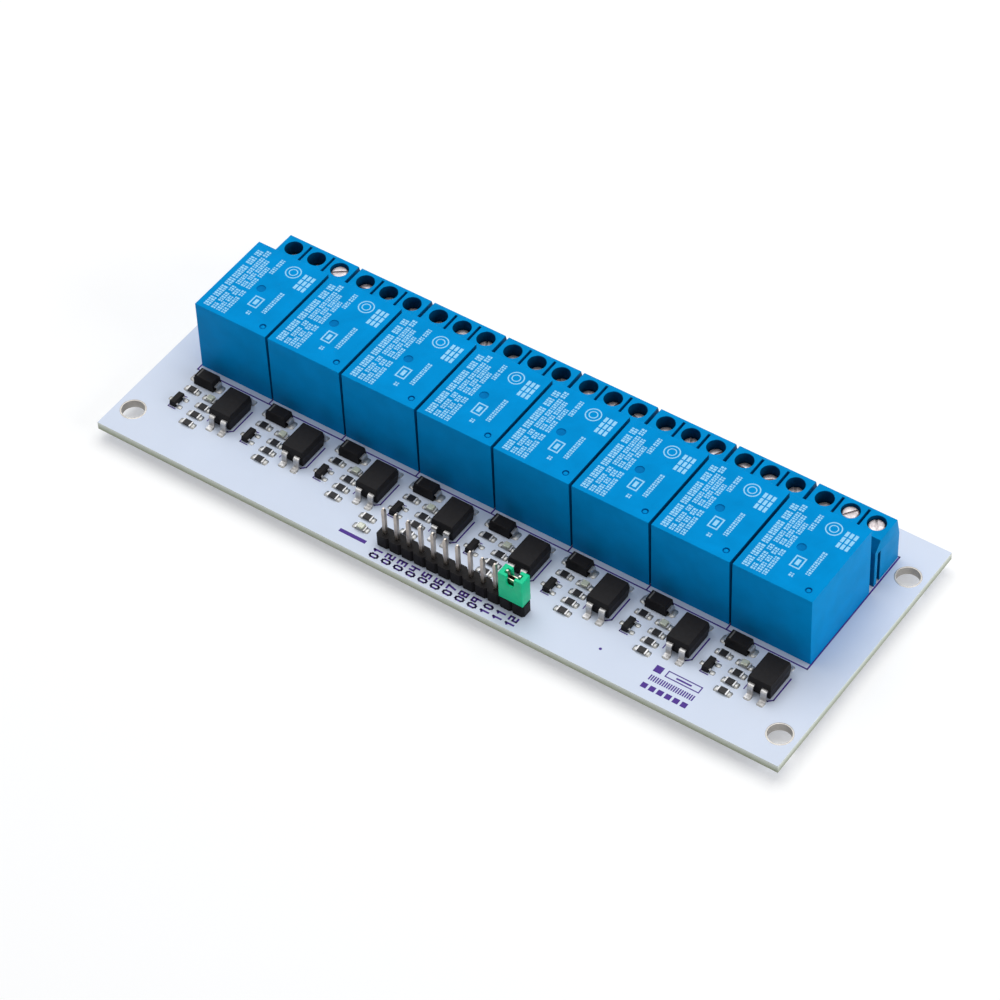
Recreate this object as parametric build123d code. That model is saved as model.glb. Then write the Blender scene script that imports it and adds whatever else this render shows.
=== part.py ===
from build123d import *
import os
from math import cos, pi, radians, sin, tan

# Eight-channel relay module board, millimetres.
# X runs along the row of relays, Y from the pin header's edge to the wire side, Z up.
# The origin is under the board's centre, on the plane that the cut pin tails rest on.

# Board
board_end_margin = 6.75
board_back_margin = 5.8
board_thickness = 1.6
tail_drop = 2.0
mount_hole_radius = 2.15
mount_inset_side = 3.35
mount_inset_front = 5.9
mount_inset_back = 8.7

# Channels
channel_count = 8
relay_gap = 0.375
block_gap = 0.635
relay_front_inset = 21.1
cut_overrun = 1.0

# Relay case and base
relay_width = 15.5
relay_length = 18.6
relay_height = 15.5
relay_wall = 0.8
relay_edge = 0.4
relay_base_recess = 0.5
relay_base_thickness = 1.5
relay_base_fit = 0.05

# Relay magnet
yoke_thickness = 1.0
yoke_pin_gap = 1.25
yoke_inset = 1.2
magnet_headroom = 4.1
pole_step = 0.8
pole_thickness = 0.6
bobbin_side_step = 0.7
bobbin_yoke_gap = 1.2
bobbin_flange_thickness = 0.9
bobbin_tube_wall = 0.75
bobbin_fit = 0.05
winding_step = 0.5
winding_build = 1.7
winding_fit = 0.1

# Relay armature and contacts
armature_side_step = 0.2
armature_thickness = 1.0
armature_lift_deg = 4.0
pole_gap = 0.05
contact_spring_width = 2.8
contact_spring_thickness = 0.2
contact_spring_start = 2.0
contact_size = 1.7
contact_thickness = 0.5
contact_rest_gap = 0.05
contact_arm_thickness = 0.4
contact_arm_width = 1.2
contact_arm_overlap = 1.0
contact_pin_back_inset = 2.0
relay_pin_side_inset = 1.75
coil_pin_inset = 4.4
coil_pin_width = 0.5
coil_pin_depth = 0.7
coil_pin_rise = 2.2
relay_pin_trim = 0.4
common_pin_width = 1.2
common_pin_depth = 0.5

# Terminal blocks
ways_per_block = 3
way_pitch = 5.08
block_gap_behind_relay = 1.6
block_depth = 8.0
block_height = 10.2
block_front_height = 8.3
block_front_slope = 1.6
block_back_height = 6.3
block_back_slope = 0.9
slit_width = 0.5
slit_depth = 1.6
slit_back_wall = 1.5
chamber_width = 3.95
chamber_height = 5.9
chamber_front_wall = 2.1
chamber_back_wall = 0.9
entry_width = 3.4
entry_floor = 1.5
entry_height = 3.3
dovetail_inset = 0.8
dovetail_mouth = 0.8
dovetail_floor = 1.15
dovetail_depth = 0.55
dovetail_height = 7.4
dovetail_clearance = 0.08

# Wire clamps and screws
clamp_width = 3.3
clamp_strip = 0.8
clamp_gap = 3.2
clamp_play = 0.4
clamp_headroom = 0.1
clamp_pin_width = 1.0
clamp_pin_depth = 0.8
screw_head_radius = 1.55
screw_head_clearance = 0.14
screw_head_height = 1.5
screw_shank_radius = 1.25
screw_shank_length = 3.7
screw_thread_clearance = 0.03
screw_travel = 2.5
screw_slot_width = 0.6
screw_slot_depth = 0.7
# How far each screw is backed out of its way, left to right, as shares of its travel
screw_backed_out_shares = (
    0.10, 0.08, 0.96, 0.44, 0.20, 0.22, 0.15, 0.40, 0.38, 0.24, 0.22, 0.20,
    0.28, 0.30, 0.30, 0.26, 0.36, 0.44, 0.38, 0.42, 0.38, 0.22, 1.00, 0.94,
)
# Turned angles of the screw slots, degrees
screw_slot_angles = (
    20, -35, 0, 10, 50, -20, 75, 15, -60, 30, 5, -40,
    40, 80, -15, 25, -70, 60, 0, 35, -25, 10, 0, 55,
)

# Pin header and jumper
header_ways = 12
header_pitch = 2.54
header_center_x = 2.83
header_inset = 4.75
header_depth = 2.5
header_height = 2.5
header_notch = 0.4
header_pin = 0.64
header_pin_rise = 8.6
jumper_side_gap = 0.18
jumper_depth = 2.45
jumper_height = 5.95
jumper_seat_gap = 0.05
jumper_wall = 0.45
jumper_notch_width = 1.3
jumper_notch_depth = 2.0
jumper_strip = 0.15
jumper_strip_fit = 0.02
jumper_contact_height = 4.2
jumper_contact_lift = 0.6
jumper_ways = 2

# Optocoupler
opto_x = 4.15
opto_y = -7.0
opto_width = 4.6
opto_length = 6.5
opto_height = 3.3
opto_standoff = 0.2
opto_parting_share = 0.62
opto_draft_deg = 6.0
opto_leg_pitch = 2.54
opto_leg_width = 1.1
opto_leg_thickness = 0.25
opto_leg_reach = 0.55
opto_foot_length = 1.2

# Diode, transistor, resistors and indicator
diode_x = -4.1
diode_y = -3.05
diode_length = 4.3
diode_width = 2.6
diode_height = 2.1
diode_draft_deg = 6.0
diode_lead_width = 1.5
diode_lead_reach = 0.5
diode_lead_rise = 1.1
transistor_x = -6.0
transistor_y = -9.4
transistor_length = 2.9
transistor_width = 1.3
transistor_height = 1.0
transistor_draft_deg = 6.0
transistor_lead_width = 0.42
transistor_lead_reach = 0.55
transistor_lead_pitch = 1.9
lead_thickness = 0.15
chip_length = 2.0
chip_width = 1.25
chip_height = 0.5
base_resistor_x = -5.3
base_resistor_y = -5.9
column_x = -1.15
column_y = -6.0
column_step = 2.25
column_resistors = 3
led_base_height = 0.45
led_lens_height = 0.4
led_lens_length = 1.3
power_resistor_gap = 4.64
power_resistor_y = 2.8
power_led_gap = 4.19
power_led_y = 0.35

# Sides of the small upright forms that repeat
well_sides = 10
head_sides = 8
shank_sides = 6
core_sides = 4
coil_sides = 8
half_turn_deg = 180

# Places worked out from the sizes above
block_length = ways_per_block * way_pitch
# A channel is as wide as its relay or its terminal block, whichever takes more room
channel_pitch = max(relay_width + relay_gap, block_length + block_gap)
board_length = channel_count * channel_pitch + 2 * board_end_margin
carried_depth = relay_front_inset + relay_length + block_gap_behind_relay + block_depth
board_depth = carried_depth + board_back_margin
board_bottom = tail_drop
board_top = tail_drop + board_thickness
board_front = -board_depth / 2
relay_front = board_front + relay_front_inset
relay_back = relay_front + relay_length
block_front = relay_back + block_gap_behind_relay
block_back = block_front + block_depth
chamber_depth = block_depth - chamber_front_wall - chamber_back_wall
well_y = block_front + chamber_front_wall + chamber_depth / 2
well_radius = screw_head_radius + screw_head_clearance
clamp_reach = chamber_depth - clamp_play
header_y = board_front + header_inset
header_length = header_ways * header_pitch
header_left = header_center_x - header_length / 2
jumper_length = jumper_ways * header_pitch - jumper_side_gap
relay_pin_spread = relay_width / 2 - relay_pin_side_inset
contact_y = relay_back - contact_pin_back_inset
yoke_width = 2 * (relay_pin_spread - coil_pin_width / 2 - yoke_pin_gap)
armature_width = yoke_width - 2 * armature_side_step
bobbin_flange = yoke_width + 2 * bobbin_side_step
winding_radius = bobbin_flange / 2 - winding_step
bobbin_tube_radius = winding_radius - winding_build
core_radius = bobbin_tube_radius - bobbin_tube_wall - bobbin_fit
pole_radius = core_radius + pole_step
core_inset = yoke_inset + yoke_thickness + bobbin_yoke_gap + bobbin_flange / 2
base_bottom = board_top + relay_base_recess
base_top = base_bottom + relay_base_thickness
relay_inner_top = board_top + relay_height - relay_wall
yoke_top = relay_inner_top - magnet_headroom
armature_bottom = yoke_top + pole_gap
hinge_y = relay_front + yoke_inset
clamp_top = board_top + chamber_height - clamp_headroom
clamp_bottom = clamp_top - 2 * clamp_strip - clamp_gap


def box(x_low, x_high, y_low, y_high, z_low, z_high):
    """A block between two corners."""
    size = (x_high - x_low, y_high - y_low, z_high - z_low)
    return Pos(x_low, y_low, z_low) * Box(*size, align=(Align.MIN, Align.MIN, Align.MIN))


def centred_box(x, y, width, depth, z_low, z_high):
    """A block centred on a point of the board."""
    return box(x - width / 2, x + width / 2, y - depth / 2, y + depth / 2, z_low, z_high)


def prism(x, y, radius, sides, z_low, z_high):
    """An upright prism with its corners on the given radius and a flat towards +X."""
    outline = Pos(x, y, z_low) * Rot(0, 0, half_turn_deg / sides) * RegularPolygon(radius, sides)
    return extrude(outline, amount=z_high - z_low)


def rod(x, y, radius, z_low, z_high):
    """An upright round bar."""
    return Pos(x, y, (z_low + z_high) / 2) * Cylinder(radius, z_high - z_low)


def strip_yz(points, x_low, x_high):
    """A profile in the Y-Z plane, drawn along X."""
    profile = Plane.YZ.offset(x_low) * Polygon(*points, align=None)
    return extrude(profile, amount=x_high - x_low, dir=(1, 0, 0))


def strip_xz(points, y_low, y_high):
    """A profile in the X-Z plane, drawn along Y."""
    profile = Plane.XZ.offset(-y_low) * Polygon(*points, align=None)
    return extrude(profile, amount=y_high - y_low, dir=(0, 1, 0))


def upright(points, z_low, z_high):
    """A profile in plan, drawn upwards."""
    profile = Pos(0, 0, z_low) * Polygon(*points, align=None)
    return extrude(profile, amount=z_high - z_low, dir=(0, 0, 1))


def drafted_block(x, y, width, depth, z_from, z_to, draft_deg):
    """A moulded block that narrows away from its widest face."""
    outline = Pos(x, y, z_from) * Rectangle(width, depth)
    rise = z_to - z_from
    direction = (0, 0, 1 if rise > 0 else -1)
    return extrude(outline, amount=abs(rise), dir=direction, taper=draft_deg)


def channel_x(channel):
    """The centre of a channel's relay."""
    return (channel - (channel_count - 1) / 2) * channel_pitch


def way_places():
    """The centre of each wire way, block by block."""
    places = []
    for channel in range(channel_count):
        for way in range(ways_per_block):
            x = channel_x(channel) + (way - (ways_per_block - 1) / 2) * way_pitch
            places.append((x, well_y))
    return places


def header_pin_x(way):
    """The centre of a header pin."""
    return header_center_x + (way - (header_ways - 1) / 2) * header_pitch


def relay_pin_sections(channel):
    """Centre and section of each of a relay's five pins."""
    x = channel_x(channel)
    coil_y = relay_front + coil_pin_inset
    common_y = hinge_y + common_pin_depth / 2
    return {
        "coil_left": (x - relay_pin_spread, coil_y, coil_pin_width, coil_pin_depth),
        "coil_right": (x + relay_pin_spread, coil_y, coil_pin_width, coil_pin_depth),
        "common": (x, common_y, common_pin_width, common_pin_depth),
        "closed": (x + relay_pin_spread, contact_y, contact_arm_thickness, contact_arm_width),
        "open": (x - relay_pin_spread, contact_y, contact_arm_thickness, contact_arm_width),
    }


# Board

def make_board():
    """The glass-fibre board with its mounting holes and the holes of every pin."""
    board = box(-board_length / 2, board_length / 2, board_front, -board_front, board_bottom, board_top)
    cuts = []
    low = board_bottom - cut_overrun
    high = board_top + cut_overrun
    for side in (-1, 1):
        x = side * (board_length / 2 - mount_inset_side)
        for y in (board_front + mount_inset_front, -board_front - mount_inset_back):
            cuts.append(rod(x, y, mount_hole_radius, low, high))
    for channel in range(channel_count):
        for x, y, width, depth in relay_pin_sections(channel).values():
            cuts.append(centred_box(x, y, width, depth, low, high))
    for x, y in way_places():
        cuts.append(centred_box(x, y, clamp_pin_width, clamp_pin_depth, low, high))
    for way in range(header_ways):
        cuts.append(centred_box(header_pin_x(way), header_y, header_pin, header_pin, low, high))
    return board - cuts


# Relays

def make_relay_case(channel):
    """The cover: a box open at the bottom, with softened edges."""
    x = channel_x(channel)
    top = board_top + relay_height
    y = relay_front + relay_length / 2
    case = centred_box(x, y, relay_width, relay_length, board_top, top)
    case = chamfer(case.edges().filter_by(Axis.Z), relay_edge)
    case = chamfer(case.edges().group_by(Axis.Z)[-1], relay_edge)
    inner_width = relay_width - 2 * relay_wall
    inner_length = relay_length - 2 * relay_wall
    case -= centred_box(x, y, inner_width, inner_length, board_top - cut_overrun, top - relay_wall)
    return case


def make_relay_base(channel):
    """The plate that closes the cover and carries the five pins."""
    inset = relay_wall + relay_base_fit
    x = channel_x(channel)
    y = relay_front + relay_length / 2
    width = relay_width - 2 * inset
    depth = relay_length - 2 * inset
    base = centred_box(x, y, width, depth, base_bottom, base_top)
    low = base_bottom - cut_overrun
    high = base_top + cut_overrun
    slots = [centred_box(*section, low, high) for section in relay_pin_sections(channel).values()]
    return base - slots


def make_yoke(channel):
    """The bent iron yoke, with the common pin struck from its foot."""
    x = channel_x(channel)
    y = relay_front
    foot_end = y + core_inset + pole_radius
    plate_back = hinge_y + yoke_thickness
    foot_top = base_top + yoke_thickness
    points = (
        (hinge_y, base_top),
        (foot_end, base_top),
        (foot_end, foot_top),
        (plate_back, foot_top),
        (plate_back, yoke_top),
        (hinge_y, yoke_top),
    )
    yoke = strip_yz(points, x - yoke_width / 2, x + yoke_width / 2)
    pin_x, pin_y, width, depth = relay_pin_sections(channel)["common"]
    return yoke + centred_box(pin_x, pin_y, width, depth, relay_pin_trim, base_top)


def make_core(channel):
    """The core, riveted on the yoke's foot, with the pole face at its top."""
    x = channel_x(channel)
    y = relay_front + core_inset
    pole_bottom = yoke_top - pole_thickness
    core = prism(x, y, core_radius, core_sides, base_top + yoke_thickness, pole_bottom)
    return core + prism(x, y, pole_radius, coil_sides, pole_bottom, yoke_top)


def make_bobbin(channel):
    """The coil former: a tube between two flanges, under the pole face."""
    x = channel_x(channel)
    y = relay_front + core_inset
    low = base_top + yoke_thickness
    high = yoke_top - pole_thickness
    low_flange_top = low + bobbin_flange_thickness
    high_flange_bottom = high - bobbin_flange_thickness
    low_width = 2 * relay_pin_spread - coil_pin_width
    bobbin = centred_box(x, y, low_width, bobbin_flange, low, low_flange_top)
    bobbin += prism(x, y, bobbin_tube_radius, core_sides, low_flange_top, high_flange_bottom)
    bobbin += centred_box(x, y, bobbin_flange, bobbin_flange, high_flange_bottom, high)
    bore = core_radius + bobbin_fit
    return bobbin - prism(x, y, bore, core_sides, low - cut_overrun, high + cut_overrun)


def make_winding(channel):
    """The wound copper, one ring of full section between the bobbin's flanges."""
    x = channel_x(channel)
    y = relay_front + core_inset
    low = base_top + yoke_thickness + bobbin_flange_thickness
    high = yoke_top - pole_thickness - bobbin_flange_thickness
    winding = prism(x, y, winding_radius, coil_sides, low, high - winding_fit)
    inner = bobbin_tube_radius
    return winding - prism(x, y, inner, core_sides, low - cut_overrun, high + cut_overrun)


def make_coil_pins(channel):
    """The two coil pins, standing against the bobbin's lower flange."""
    sections = relay_pin_sections(channel)
    top = base_top + coil_pin_rise
    return [centred_box(*sections[name], relay_pin_trim, top) for name in ("coil_left", "coil_right")]


def lifted_contact_faces():
    """Heights of the moving contact's upper face at rest and lower face when pulled in."""
    lift = sin(radians(armature_lift_deg)) * (contact_y - hinge_y)
    spring_bottom = armature_bottom + armature_thickness
    upper = spring_bottom + contact_spring_thickness + contact_thickness
    return upper + lift, spring_bottom - contact_thickness


def make_fixed_contact(channel, name):
    """A fixed contact: a strip that rises from its pin and bends in over or under the spring."""
    x, y, _, _ = relay_pin_sections(channel)[name]
    centre = channel_x(channel)
    direction = 1 if centre > x else -1
    closed_face, open_face = lifted_contact_faces()
    if name == "closed":
        face = closed_face + contact_rest_gap
        arm_low = face + contact_thickness
        button = (face, arm_low)
    else:
        face = open_face - contact_rest_gap
        arm_low = face - contact_thickness - contact_arm_thickness
        button = (arm_low + contact_arm_thickness, face)
    arm_high = arm_low + contact_arm_thickness
    outer = x - direction * contact_arm_thickness / 2
    inner = x + direction * contact_arm_thickness / 2
    tip = centre + direction * contact_arm_overlap
    points = (
        (outer, relay_pin_trim),
        (inner, relay_pin_trim),
        (inner, arm_low),
        (tip, arm_low),
        (tip, arm_high),
        (outer, arm_high),
    )
    low_y = y - contact_arm_width / 2
    contact = strip_xz(points, low_y, low_y + contact_arm_width)
    return contact + centred_box(centre, contact_y, contact_size, contact_arm_width, *button)


def make_armature(channel):
    """The hinged iron plate with its contact spring and moving contact, held off the pole."""
    x = channel_x(channel)
    plate_top = armature_bottom + armature_thickness
    plate_end = relay_front + core_inset + pole_radius
    armature = box(x - armature_width / 2, x + armature_width / 2,
                   hinge_y, plate_end, armature_bottom, plate_top)
    spring_top = plate_top + contact_spring_thickness
    armature += box(x - contact_spring_width / 2, x + contact_spring_width / 2,
                    hinge_y + contact_spring_start, contact_y + contact_arm_width / 2,
                    plate_top, spring_top)
    armature += centred_box(x, contact_y, contact_size, contact_arm_width,
                            plate_top - contact_thickness, spring_top + contact_thickness)
    hinge = Axis((x, hinge_y, armature_bottom), (1, 0, 0))
    return armature.rotate(hinge, armature_lift_deg)


# Terminal blocks

def make_block(channel):
    """A three-way housing with screw wells, clamp chambers, wire entries and dovetail ends."""
    x = channel_x(channel)
    left = x - block_length / 2
    right = x + block_length / 2
    top = board_top + block_height
    points = (
        (block_front, board_top),
        (block_back, board_top),
        (block_back, board_top + block_back_height),
        (block_back - block_back_slope, top),
        (block_front + block_front_slope, top),
        (block_front, board_top + block_front_height),
    )
    block = strip_yz(points, left, right)
    chamber_top = board_top + chamber_height
    low = board_top - cut_overrun
    cuts = []
    for way_x, way_y in way_places()[channel * ways_per_block:(channel + 1) * ways_per_block]:
        cuts.append(centred_box(way_x, way_y, chamber_width, chamber_depth, low, chamber_top))
        cuts.append(prism(way_x, way_y, well_radius, well_sides, chamber_top, top + cut_overrun))
        half = entry_width / 2
        entry_low = board_top + entry_floor
        cuts.append(box(way_x - half, way_x + half, block_back - chamber_back_wall,
                        block_back + cut_overrun, entry_low, entry_low + entry_height))
    for slit in range(1, ways_per_block):
        slit_x = left + slit * way_pitch
        cuts.append(box(slit_x - slit_width / 2, slit_x + slit_width / 2, block_front - cut_overrun,
                        block_back - slit_back_wall, top - slit_depth, top + cut_overrun))
    cuts.append(make_dovetail(right, 0, low))
    tongue = make_dovetail(left, dovetail_clearance, board_top)
    return block - cuts + tongue


def make_dovetail(face_x, clearance, z_low):
    """The upright dovetail at a block's end: a groove on the right, a slimmer tongue on the left."""
    middle = block_front + dovetail_inset + dovetail_floor / 2
    mouth = dovetail_mouth / 2 - clearance
    floor = dovetail_floor / 2 - clearance
    height = board_top + dovetail_height - clearance
    inner = face_x - dovetail_depth
    outer = face_x
    points = (
        (inner, middle - floor),
        (inner, middle + floor),
        (outer, middle + mouth),
        (outer, middle - mouth),
    )
    return upright(points, z_low, height)


def make_clamp(x, y):
    """The bent brass clamp: a tapped arm over the wire, a floor under it, and its pin."""
    back = block_front + chamber_front_wall
    reach = back + clamp_reach
    arm_low = clamp_top - clamp_strip
    floor_top = clamp_bottom + clamp_strip
    web = back + clamp_strip
    points = (
        (back, clamp_bottom),
        (reach, clamp_bottom),
        (reach, floor_top),
        (web, floor_top),
        (web, arm_low),
        (reach, arm_low),
        (reach, clamp_top),
        (back, clamp_top),
    )
    clamp = strip_yz(points, x - clamp_width / 2, x + clamp_width / 2)
    clamp += centred_box(x, y, clamp_pin_width, clamp_pin_depth, 0, clamp_bottom)
    bore = (screw_shank_radius + screw_thread_clearance) / cos(pi / shank_sides)
    return clamp - prism(x, y, bore, shank_sides, arm_low - cut_overrun, clamp_top + cut_overrun)


def make_screw(x, y, backed_out_share, slot_angle):
    """A slotted clamp screw at the height to which it is backed out."""
    seat = clamp_top + backed_out_share * screw_travel
    head_top = seat + screw_head_height
    screw = prism(x, y, screw_head_radius, head_sides, seat, head_top)
    screw += prism(x, y, screw_shank_radius, shank_sides, seat - screw_shank_length, seat)
    slot = centred_box(0, 0, 2 * screw_head_radius + cut_overrun, screw_slot_width,
                       head_top - screw_slot_depth, head_top + cut_overrun)
    return screw - Pos(x, y, 0) * Rot(0, 0, slot_angle) * slot


# Pin header and jumper

def make_header_strip():
    """The moulded strip, notched between its ways, with a square hole for each pin."""
    left = header_left
    front = header_y - header_depth / 2
    back = header_y + header_depth / 2
    near = [(left, front + header_notch)]
    far = [(left, back - header_notch)]
    for way in range(header_ways):
        start = left + way * header_pitch
        end = start + header_pitch
        near += [(start + header_notch, front), (end - header_notch, front), (end, front + header_notch)]
        far += [(start + header_notch, back), (end - header_notch, back), (end, back - header_notch)]
    strip = upright([*near, *reversed(far)], board_top, board_top + header_height)
    low = board_top - cut_overrun
    high = board_top + header_height + cut_overrun
    holes = [centred_box(header_pin_x(way), header_y, header_pin, header_pin, low, high)
             for way in range(header_ways)]
    return strip - holes


def make_header_pin(way):
    """A square pin through the strip and the board."""
    return centred_box(header_pin_x(way), header_y, header_pin, header_pin, 0, board_top + header_pin_rise)


def jumper_center_x():
    """The middle of the last two header pins."""
    return (header_pin_x(header_ways - 1) + header_pin_x(header_ways - jumper_ways)) / 2


def make_jumper_cap():
    """The shunt's moulded cap, open at the top and notched in its long walls."""
    x = jumper_center_x()
    low = board_top + header_height + jumper_seat_gap
    high = low + jumper_height
    cap = centred_box(x, header_y, jumper_length, jumper_depth, low, high)
    inner_length = jumper_length - 2 * jumper_wall
    inner_depth = jumper_depth - 2 * jumper_wall
    cap -= centred_box(x, header_y, inner_length, inner_depth, low - cut_overrun, high + cut_overrun)
    notch_depth = jumper_depth + cut_overrun
    return cap - centred_box(x, header_y, jumper_notch_width, notch_depth,
                             high - jumper_notch_depth, high + cut_overrun)


def make_jumper_contact():
    """The folded spring strip that bridges two pins inside the cap."""
    x = jumper_center_x()
    low = board_top + header_height + jumper_contact_lift
    inner = header_pin / 2 + jumper_strip_fit
    outer = inner + jumper_strip
    left = x - jumper_length / 2 + jumper_wall
    right = x + jumper_length / 2 - jumper_wall
    web = left + jumper_strip
    points = (
        (left, header_y - outer),
        (right, header_y - outer),
        (right, header_y - inner),
        (web, header_y - inner),
        (web, header_y + inner),
        (right, header_y + inner),
        (right, header_y + outer),
        (left, header_y + outer),
    )
    return upright(points, low, low + jumper_contact_height)


# Small parts

def make_optocoupler(channel):
    """A four-pin optocoupler body, drafted above and below its parting line."""
    x = channel_x(channel) + opto_x
    y = relay_front + opto_y
    low = board_top + opto_standoff
    parting = low + opto_parting_share * opto_height
    high = low + opto_height
    upper = drafted_block(x, y, opto_width, opto_length, parting, high, opto_draft_deg)
    return upper + drafted_block(x, y, opto_width, opto_length, parting, low, opto_draft_deg)


def make_optocoupler_legs(channel):
    """Four gull-wing legs, two at each end of the body."""
    x = channel_x(channel) + opto_x
    y = relay_front + opto_y
    parting = board_top + opto_standoff + opto_parting_share * opto_height
    half = opto_leg_thickness / 2
    legs = []
    for end in (-1, 1):
        body = y + end * opto_length / 2
        knee = body + end * opto_leg_reach
        toe = knee + end * opto_foot_length
        outer = knee + end * opto_leg_thickness
        points = [
            (body, parting - half),
            (knee, parting - half),
            (knee, board_top),
            (toe, board_top),
            (toe, board_top + opto_leg_thickness),
            (outer, board_top + opto_leg_thickness),
            (outer, parting + half),
            (body, parting + half),
        ]
        for side in (-1, 1):
            centre = x + side * opto_leg_pitch / 2
            legs.append(strip_yz(points, centre - opto_leg_width / 2, centre + opto_leg_width / 2))
    return legs


def make_diode(channel):
    """The body of the diode across the relay's coil."""
    x = channel_x(channel) + diode_x
    y = relay_front + diode_y
    high = board_top + diode_height
    return drafted_block(x, y, diode_length, diode_width, board_top, high, diode_draft_deg)


def make_diode_leads(channel):
    """Two leads that come out of the diode's ends and bend down to the board."""
    x = channel_x(channel) + diode_x
    y = relay_front + diode_y
    leads = []
    lead_top = board_top + diode_lead_rise
    shoulder = lead_top - lead_thickness
    recess = (shoulder - board_top) * tan(radians(diode_draft_deg))
    for end in (-1, 1):
        body = x + end * diode_length / 2
        root = body - end * recess
        tip = body + end * diode_lead_reach
        inner = tip - end * lead_thickness
        points = (
            (inner, board_top),
            (tip, board_top),
            (tip, lead_top),
            (root, lead_top),
            (root, shoulder),
            (inner, shoulder),
        )
        leads.append(strip_xz(points, y - diode_lead_width / 2, y + diode_lead_width / 2))
    return leads


def make_transistor(channel):
    """The small body of the transistor that drives the coil."""
    x = channel_x(channel) + transistor_x
    y = relay_front + transistor_y
    low = board_top + lead_thickness
    high = low + transistor_height
    return drafted_block(x, y, transistor_width, transistor_length, low, high, transistor_draft_deg)


def make_transistor_leads(channel):
    """Three flat leads: two on the right side and one on the left."""
    x = channel_x(channel) + transistor_x
    y = relay_front + transistor_y
    half_body = transistor_width / 2
    leads = []
    for side, offset in ((1, transistor_lead_pitch / 2), (1, -transistor_lead_pitch / 2), (-1, 0)):
        inner = x + side * (half_body - transistor_lead_reach)
        outer = x + side * (half_body + transistor_lead_reach)
        low_y = y + offset - transistor_lead_width / 2
        leads.append(box(min(inner, outer), max(inner, outer), low_y, low_y + transistor_lead_width,
                         board_top, board_top + lead_thickness))
    return leads


def make_chip(x, y):
    """A flat chip resistor."""
    return centred_box(x, y, chip_length, chip_width, board_top, board_top + chip_height)


def make_led(x, y):
    """A chip indicator: a base with a narrower clear lens on it."""
    lens_low = board_top + led_base_height
    led = centred_box(x, y, chip_length, chip_width, board_top, lens_low)
    return led + centred_box(x, y, led_lens_length, chip_width, lens_low, lens_low + led_lens_height)


def resistor_places():
    """The power lamp's resistor, then each channel's four."""
    places = [(header_left - power_resistor_gap, header_y + power_resistor_y)]
    for channel in range(channel_count):
        x = channel_x(channel)
        places.append((x + base_resistor_x, relay_front + base_resistor_y))
        for row in range(1, column_resistors + 1):
            places.append((x + column_x, relay_front + column_y - row * column_step))
    return places


def led_places():
    """The power lamp, then each channel's indicator."""
    places = [(header_left - power_led_gap, header_y + power_led_y)]
    for channel in range(channel_count):
        places.append((channel_x(channel) + column_x, relay_front + column_y))
    return places


# Files

def flatten(lists):
    """One list from a list of lists."""
    return [piece for pieces in lists for piece in pieces]


def make_nodes():
    """Every named sub-part with its solids."""
    channels = range(channel_count)
    nodes = {"circuit_board": [make_board()]}
    nodes["relay_cases"] = [make_relay_case(channel) for channel in channels]
    nodes["relay_bases"] = [make_relay_base(channel) for channel in channels]
    nodes["relay_yokes"] = [make_yoke(channel) for channel in channels]
    nodes["relay_cores"] = [make_core(channel) for channel in channels]
    nodes["relay_bobbins"] = [make_bobbin(channel) for channel in channels]
    nodes["relay_windings"] = [make_winding(channel) for channel in channels]
    nodes["relay_coil_pins"] = flatten(make_coil_pins(channel) for channel in channels)
    nodes["relay_fixed_contacts"] = [make_fixed_contact(channel, name)
                                     for channel in channels for name in ("closed", "open")]
    for channel in channels:
        nodes[f"relay_armature_{channel + 1}"] = [make_armature(channel)]
        nodes[f"terminal_block_{channel + 1}"] = [make_block(channel)]
    nodes["terminal_clamps"] = [make_clamp(x, y) for x, y in way_places()]
    turns = zip(way_places(), screw_backed_out_shares, screw_slot_angles)
    for number, ((x, y), share, angle) in enumerate(turns, start=1):
        nodes[f"terminal_screw_{number:02d}"] = [make_screw(x, y, share, angle)]
    nodes["header_strip"] = [make_header_strip()]
    nodes["header_pins"] = [make_header_pin(way) for way in range(header_ways)]
    nodes["jumper_cap"] = [make_jumper_cap()]
    nodes["jumper_contact"] = [make_jumper_contact()]
    nodes["optocouplers"] = [make_optocoupler(channel) for channel in channels]
    nodes["diodes"] = [make_diode(channel) for channel in channels]
    nodes["transistors"] = [make_transistor(channel) for channel in channels]
    leads = [make_optocoupler_legs, make_diode_leads, make_transistor_leads]
    nodes["semiconductor_leads"] = flatten(make(channel) for make in leads for channel in channels)
    nodes["resistors"] = [make_chip(x, y) for x, y in resistor_places()]
    nodes["indicator_leds"] = [make_led(x, y) for x, y in led_places()]
    return nodes


def export_nodes():
    """Write each sub-part to its own file."""
    os.makedirs("parts", exist_ok=True)
    for name, pieces in make_nodes().items():
        solids = flatten(piece.solids() for piece in pieces)
        export_step(Compound(solids), f"parts/{name}.step")


export_nodes()
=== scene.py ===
import math
import bmesh
import bpy
from mathutils import Matrix, Vector


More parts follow.
